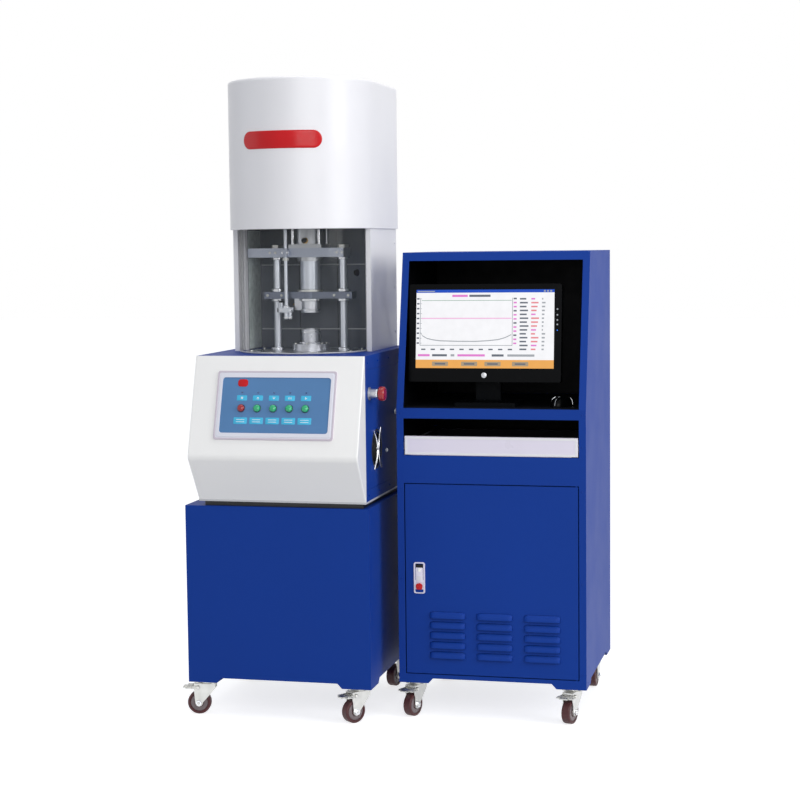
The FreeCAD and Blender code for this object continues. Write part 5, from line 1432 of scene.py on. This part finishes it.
def bay_cable_ports():
    """Cable grommets in the bay's back wall."""
    piece = Piece("bay_grommets", place=COMPUTER @ front_frame(0, CABINET_DEPTH - 3.3, 0))
    height, inset = 1060, 70
    for x in (inset, CABINET_WIDTH - inset):
        seat = moved(x, height)
        piece.ring(22, 30, 0, 4, BLACK_PLASTIC, place=seat)
        piece.turned([(0, 0), (22.2, 0), (22.2, 1.6), (4, 2.6), (0, 2.6)], BLACK_PLASTIC, place=seat)
    piece.done()


def cabinet_rivets():
    """Painted rivets on the computer cabinet's front frame."""
    inset, rows = 12, (160, 447, 735, 873, 974)
    places = [((x, -0.05, z), -Y) for x in (inset, CABINET_WIDTH - inset) for z in rows]
    repeated("cabinet_front_rivets", places, PAN_SCREW, BLUE, unit=COMPUTER, size=2.6)


def louvre_shape(piece):
    """One pressed louvre with round ends, open at the bottom."""
    width, height, depth, end, wall = 116, 21, 10.5, 14, 1.2
    across, up = 20, 8
    front, back = [], []
    for level in range(up + 1):
        rise = level / up
        rows = ([], [])
        for step in range(across + 1):
            x = width / 2 * math.sin(math.pi * (step / across - 0.5))
            over = max(0.0, abs(x) - (width / 2 - end)) / end
            swell = math.cos(rise * math.pi / 2) ** 0.6 * math.sqrt(max(0.0, 1 - over ** 2))
            for row, out in zip(rows, (depth, depth - wall)):
                row.append((x, rise * height * (1 - 0.25 * over ** 2), out * swell))
        front.append(rows[0])
        back.append(rows[1])
    piece.sheets([front, back, [front[0], back[0]]], BLUE)


def door_louvres():
    """Pressed louvres over the door's slots."""
    first_x, first_z, pitch_x, pitch_z = 159, 196, 151, 32
    pressed = pattern("louvre_pattern", louvre_shape)
    places = [((first_x + column * pitch_x, -0.02, first_z + row * pitch_z), -Y)
              for column in range(3) for row in range(5)]
    repeated("door_louvres", places, pressed, BLUE, body="cabinet_door", unit=COMPUTER, spread=0)
    bpy.data.objects.remove(pressed)


def node_front(node):
    """Frame on the front of one of the computer unit's nodes, with z towards the user."""
    middle = node_middle(node, COMPUTER)
    low, _ = node_box(node, COMPUTER)
    return COMPUTER @ front_frame(middle.x, low.y, middle.z)


def door_latch():
    """Silver surround, handle face and red release of the swing latch."""
    pan_middle = (69.5, -3, 451)
    pan = Piece("latch_surround", "cabinet_door", COMPUTER @ front_frame(*pan_middle))
    outer, inner = rounded_rectangle(36, 100, 6), rounded_rectangle(26, 92, 3)
    pan.rim(outer, inner, -3.2, 0.9, DRAWER_WHITE, soft=0.5)
    release = rounded_rectangle(29, 30, 2)
    pan.rim(release, round_like(release, 5.5), -0.05, 0.55, DRAWER_WHITE, soft=0.2, place=moved(0, -21.6))
    pan.done()
    low, high = node_box("latch_handle", COMPUTER)
    length = high.z - low.z
    handle = Piece("latch_handle_face", "door_handle", node_front("latch_handle"))
    handle.plate((0, -5), (23.4, length - 11, 3), -0.1, 1.1, DRAWER_WHITE, 0.4)
    for row in range(4):
        handle.plate((0, 9 + row * 3.6 - length / 2), (16, 1.5, 0.7), 1, 1.8, ZINC, 0.2)
    handle.plate((0, length / 2 - 18), (11, 11, 5.4), 1, 1.9, ZINC, 0.3)
    handle.done()
    button = Piece("latch_button_cap", "door_button", node_front("latch_button"))
    button.plate((0, -5.4), (21, 19.4, 6), -0.2, 2.4, RED, 0.9)
    button.done()


def door_stiffeners():
    """Folded stiffeners on the inside of the door."""
    low, high = node_box("door", COMPUTER)
    left, right = low.x + 12, high.x - 30
    piece = Piece("door_inside_stiffeners", "cabinet_door", COMPUTER)
    for z in (low.z + 245, high.z - 60):
        piece.box((left, 1.3, z - 14), (right, 2.6, z + 14), BLUE, soft=0.5)
        piece.box((left, 2.4, z - 8), (right, 8, z + 8), BLUE, soft=1.2)
    piece.done()


def drawer_details():
    """Finger lip, rubber mat, near-black inner walls as painted shade, and pale outline of the keyboard drawer."""
    low, high = node_box("drawer", COMPUTER)
    board_low, board_high = node_box("keyboard", COMPUTER)
    wall, half_tray = 1.5, 261.8
    left, right = CABINET_MIDDLE - half_tray + wall, CABINET_MIDDLE + half_tray - wall
    front, back, top = board_low.y - 9, high.y - wall, low.z + 39.8
    piece = Piece("drawer_trim", "keyboard_drawer", COMPUTER)
    half_lip = 255
    piece.box((low.x + 20, 0.9, low.z - 0.9), (CABINET_MIDDLE + half_lip, 9, low.z + 0.4), DRAWER_WHITE,
              soft=0.4)
    piece.box((left, front, low.z + 1.3), (right, board_high.y + 30, low.z + 2.1), BLACK_PLASTIC, soft=0.3)
    # Near-black sheets on the drawer's back and side walls: painted shade in the gap, laid over the drawer's
    # white.
    piece.box((left, back - 0.7, low.z + 2), (right, back - 0.1, top), PAINTED_SHADE)
    for x in (left - 0.1, right - 0.5):
        piece.box((x, front, low.z + 2.2), (x + 0.6, back - 0.8, top), PAINTED_SHADE)
    outer, inner = rounded_rectangle(546, 57, 2), rounded_rectangle(532, 43, 2)
    piece.rim(outer, inner, -0.3, 0.55, WHITE, 0.2, front_frame(CABINET_MIDDLE, 0, low.z + 29.5))
    piece.done()


def key_shape(piece):
    """One key with sloped sides and a dished top."""
    foot = rounded_rectangle(16, 15.4, 1.6, steps=2)
    top = rounded_rectangle(12.6, 12.4, 2, steps=2)
    shape = bmesh.new()
    levels = [(foot, 0), (foot, 1.2), (top, 5.4), ([shrunk(point, 1.4) for point in top], 5.0)]
    loops = [[shape.verts.new((*point, level)) for point in outline] for outline, level in levels]
    for lower, upper in zip(loops, loops[1:]):
        piece.joined(shape, lower, upper)
    shape.faces.new(loops[0])
    shape.faces.new(loops[-1])
    piece.keep(shape, KEYCAP)


def keyboard_keys():
    """Rows of keys on the keyboard's sloped top, its space bar and its lamps."""
    low, high = node_box("keyboard", COMPUTER)
    slope = math.atan2((high.z - low.z) * 0.5, high.y - low.y)
    front_top = (low.z + high.z) / 2
    aim = Vector((0, -math.sin(slope), math.cos(slope)))
    pitch, first_row, top_row_gap = 18.6, 15, 6
    letters, arrows, numbers = low.x + 17, low.x + 290, low.x + 358

    def on_top(x, back):
        """A place on the sloped top, a distance behind its front edge."""
        return (x, low.y + back, front_top + math.tan(slope) * back - 0.3)

    def gap(start, row, column):
        """True where the space bar lies or a key is left out."""
        if start == letters:
            return row == 0 and 3 <= column <= 8
        if start == arrows:
            return row == 2 or (row == 1 and column != 1)
        return row == 5

    places = []
    for row in range(6):
        back = first_row + row * pitch + (top_row_gap if row == 5 else 0)
        places += [(on_top(start + column * pitch, back), aim)
                   for count, start in ((14, letters), (3, arrows), (4, numbers))
                   for column in range(count) if not gap(start, row, column)]
    key = pattern("key_pattern", key_shape)
    repeated("keyboard_keys", places, key, KEYCAP, body="keyboard_drawer", unit=COMPUTER, spread=0)
    bpy.data.objects.remove(key)
    trim = Piece("keyboard_trim", "keyboard_drawer", COMPUTER)
    seat = facing(on_top(letters + 5.5 * pitch, first_row), X, aim)
    trim.plate((0, 0), (pitch * 6 - 3, 15.4, 2), 0, 5.2, KEYCAP, 1.4, seat)
    lamps = facing(on_top(high.x - 45, first_row + 5 * pitch + top_row_gap), X, aim)
    for shift in (-18, 0, 18):
        trim.plate((shift, 0), (6, 2.4, 1.1), 0.2, 1.1, LAMP_BLUE, 0.2, lamps)
    trim.done()


# Monitor and mouse

MONITOR_LEAN = -6
SCREEN_WIDTH = 443
SCREEN_HEIGHT = 249
SCREEN_FORWARD = 74
SCREEN_ABOVE = 38.5


def monitor_place(out):
    """Frame at the screen's middle, a distance in front of its surface, with z towards the user."""
    pivot = Matrix.Translation(joint_place("screen_tilt", COMPUTER))
    screen = front_frame(0, -SCREEN_FORWARD - out, SCREEN_ABOVE)
    return COMPUTER @ pivot @ swung(MONITOR_LEAN, "X") @ screen


def screen_picture():
    """The test program's window: title, plot frame, ticks, read-outs and the bar of buttons."""
    left, right = 0.5 - SCREEN_WIDTH / 2, SCREEN_WIDTH / 2 - 0.5
    top = SCREEN_HEIGHT / 2
    plot_left, plot_right = -208.8, 89.6
    piece = Piece("screen_picture", "screen", monitor_place(0.05))

    def printed(start, end, level, height, material, lift=0.35):
        """A flat patch of the screen between two places across it."""
        piece.prism(rectangle(start, level, end, level + height), 0, lift, material)

    printed(left, right, 0.5 - top, SCREEN_HEIGHT - 10.5, SCREEN_WHITE, 0.1)
    printed(left, right, top - 10, 9.5, SCREEN_BLUE, 0.2)
    printed(left + 3.5, left + 59.5, top - 7, 3, SCREEN_GREY)
    for step in range(3):
        printed(right - 33.5 + step * 10, right - 27.5 + step * 10, top - 8, 5, SCREEN_GREY)
    printed(-105, -55, 101, 7, SCREEN_MAGENTA)
    printed(-50, 18, 101, 7, SCREEN_DARK)
    for start in (plot_left, plot_right - 2):
        printed(start, start + 2, -52, 150, SCREEN_GREY, 0.25)
    printed(plot_left, plot_right, -53, 2, SCREEN_GREY, 0.25)
    for level in (93 - step * 15.6 for step in range(10)):
        printed(-219, -211, level, 5, SCREEN_DARK)
        printed(-206.8, -203, level + 1.5, 1.6, SCREEN_GREY)
    for step in range(12):
        printed(92, 102, 93 - step * 12.8, 5, SCREEN_MAGENTA if step % 3 else SCREEN_DARK)
    printed(-204, 86, 89, 2, SCREEN_GREEN)
    printed(-204, 86, 32, 3, SCREEN_PINK)
    for step in range(10):
        printed(-204 + step * 31, -190 + step * 31, -67, 4.5, SCREEN_DARK)
    row = (SCREEN_MAGENTA, SCREEN_DARK, SCREEN_GREY)
    ends = ((-214, -176), (-168, -120), (-108, -96), (-86, 2), (24, 62), (74, 160))
    for (start, end), material in zip(ends, row * 2):
        printed(start, end, -87, 7, material)
    for step in range(14):
        level = 92 - step * 12.2
        printed(112, 132 + (step * 5) % 9, level, 5, SCREEN_DARK)
        printed(148, 160 + (step * 11) % 14, level, 5, SCREEN_RED if step % 4 else SCREEN_MAGENTA)
        printed(182, 186 + (step * 7) % 8, level, 5, SCREEN_GREY)
    printed(left, right, -124, 26.5, SCREEN_ORANGE, 0.2)
    for u in (-142, -48, 27, 115):
        piece.plate((u, -110.5), (52, 14, 3), 0, 0.5, SCREEN_BUTTON)
        printed(u - 17, u + 17, -113, 5, SCREEN_DARK, 0.6)
    curve = [(-206, -11.7), (-200, -22), (-185, -30.4), (-165, -34.8), (-142.3, -37.7), (-85, -39.2),
             (-28.3, -39.3), (10, -37.2), (43.3, -33.7), (66, -27.4), (85.7, -17.9)]
    half = 1.6
    for (start, first), (end, last) in zip(curve, curve[1:]):
        piece.prism([(start, first - half), (end, last - half), (end, last + half), (start, first + half)],
                    0, 0.4, SCREEN_GREY)
    return piece.done()


def monitor_trim():
    """Bezel edge, small signs, lamp and round spot of the monitor, and its back shell."""
    piece = Piece("monitor_trim", "screen", monitor_place(1))
    outer, inner = (rounded_rectangle(SCREEN_WIDTH + grown, SCREEN_HEIGHT + grown, radius)
                    for grown, radius in ((3, 2.4), (-0.6, 1.2)))
    piece.rim(outer, inner, -0.8, 0.35, GLOSS_BLACK, soft=0.2)
    sign_column = 231
    for v in (62, 44, 28, 14):
        piece.plate((sign_column, v), (4.6, 4.6, 1.2), 0, 0.25, SCREEN_GREY)
    piece.turned([(0, 0), (1.6, 0), (1.3, 0.6), (0, 0.8)], LAMP_BLUE, place=moved(sign_column, -4), steps=14)
    piece.pin(8.5, 0, 0.9, ALUMINIUM, (0.9, 0.4), moved(0, -146))
    piece.done()
    back = Piece("monitor_back_shell", "screen", monitor_place(1))
    back.plate((0, -13), (430, 250, 24), -44, -33, GLOSS_BLACK, 5, segments=4)
    slots, first, pitch = 9, 57, 6
    # Thin black strips on the shell's back: painted shade for the vent slots.
    for level in (first + row * pitch for row in range(slots)):
        back.box((-120, level, -44.6), (120, level + 2.4, -43.6), BLACK, soft=0.3)
    back.done()


def stand_trim():
    """Soft cover and raised middle of the monitor's foot."""
    low, high = node_box("monitor_stand", COMPUTER)
    middle = node_middle("monitor_stand", COMPUTER)
    piece = Piece("monitor_stand_trim", place=COMPUTER)
    piece.plate(middle, (high.x - low.x - 3, high.y - low.y - 3, 9), SHELF + 11.9, SHELF + 13.6,
                GLOSS_BLACK, 0.8)
    dome = [(0, 13), (62, 13), (60, 15.5), (46, 17.6), (0, 18)]
    piece.turned(dome, GLOSS_BLACK, place=moved(middle.x, 150, SHELF), steps=56)
    piece.done()


def mouse_body():
    """Two-tone mouse with split buttons and a wheel, on the place of its simple solid."""
    centre = node_middle("mouse", COMPUTER)
    foot = node_box("mouse", COMPUTER)[0].z
    turn = -18
    half_length, half_width, height = 53, 30, 33
    around, up, band_steps = 48, 14, 12
    piece = Piece("mouse_shell", place=COMPUTER @ moved(centre.x, centre.y, foot) @ swung(turn))

    def surface(degrees, lift, out=0.0):
        """A point of the shell at a bearing and a share of the way up."""
        angle = math.radians(degrees)
        share = math.cos(lift * math.pi / 2) ** 0.55
        y = (half_length * share + out) * math.sin(angle)
        x = (half_width * share + out) * math.cos(angle) * (1 - 0.1 * math.sin(angle))
        z = 1.2 + (height - 2) * math.sin(lift * math.pi / 2) * (1 - 0.18 * max(0, y / half_length))
        return x, y, z + out

    rows = [[surface(360 * step / around, level / up) for step in range(around + 1)]
            for level in range(up + 1)]
    floor = [(x * 0.94, y * 0.96, 0.1) for x, y, _ in rows[0]]
    middle = [(0, 0, 0.1)] * (around + 1)
    piece.sheets([[middle, floor] + rows], GLOSS_BLACK)
    for start in (198, 18):
        band = [surface(start + 26 * step / band_steps, 0.08 + 0.72 * step / band_steps, 0.2)
                for step in range(band_steps + 1)]
        piece.tube(band, 1.9, CHROME)
    split = [surface(-90, 0.1 + 0.8 * step / band_steps, 0.2) for step in range(band_steps + 1)]
    piece.tube(split, 0.7, SCREEN_GREY, sides=6)
    tread = [(0, -3.4), (6.6, -3.4), (7.4, -2.4), (7.4, 2.4), (6.6, 3.4), (0, 3.4)]
    piece.turned(tread, BLACK_PLASTIC, place=facing((0, -34, 24.5), Y, X), steps=28)
    made = piece.done()
    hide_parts("mouse")


def computer_front():
    """Front of the computer behind the door: two drive covers, a button and vents."""
    low, high = node_box("computer_case", COMPUTER)
    half = (high.x - low.x) / 2
    piece = Piece("computer_front", place=COMPUTER @ front_frame((low.x + high.x) / 2, low.y, 0))
    for down in (60, 105):
        piece.plate((0, high.z - down), (half * 2 - 24, 38, 3), -0.2, 2, BLACK_PLASTIC, 0.7)
    button = [(0, 0), (9, 0), (9, 1.6), (7.8, 2.4), (0, 2)]
    piece.turned(button, ALUMINIUM, place=moved(0, high.z - 160))
    slots, first, pitch = 10, 30, 9
    for z in (low.z + first + row * pitch for row in range(slots)):
        piece.box((16 - half, z, -0.2), (half - 16, z + 3.4, 1.2), GLOSS_BLACK, soft=0.4)
    piece.done()


for make in (bay_lining, gap_painted_shade, bay_cable_ports, cabinet_rivets, door_louvres, door_latch,
             door_stiffeners, drawer_details, keyboard_keys, screen_picture, monitor_trim, stand_trim,
             mouse_body, computer_front):
    make()

for used in (BOLT, CAP_SCREW, PAN_SCREW):
    bpy.data.objects.remove(used)
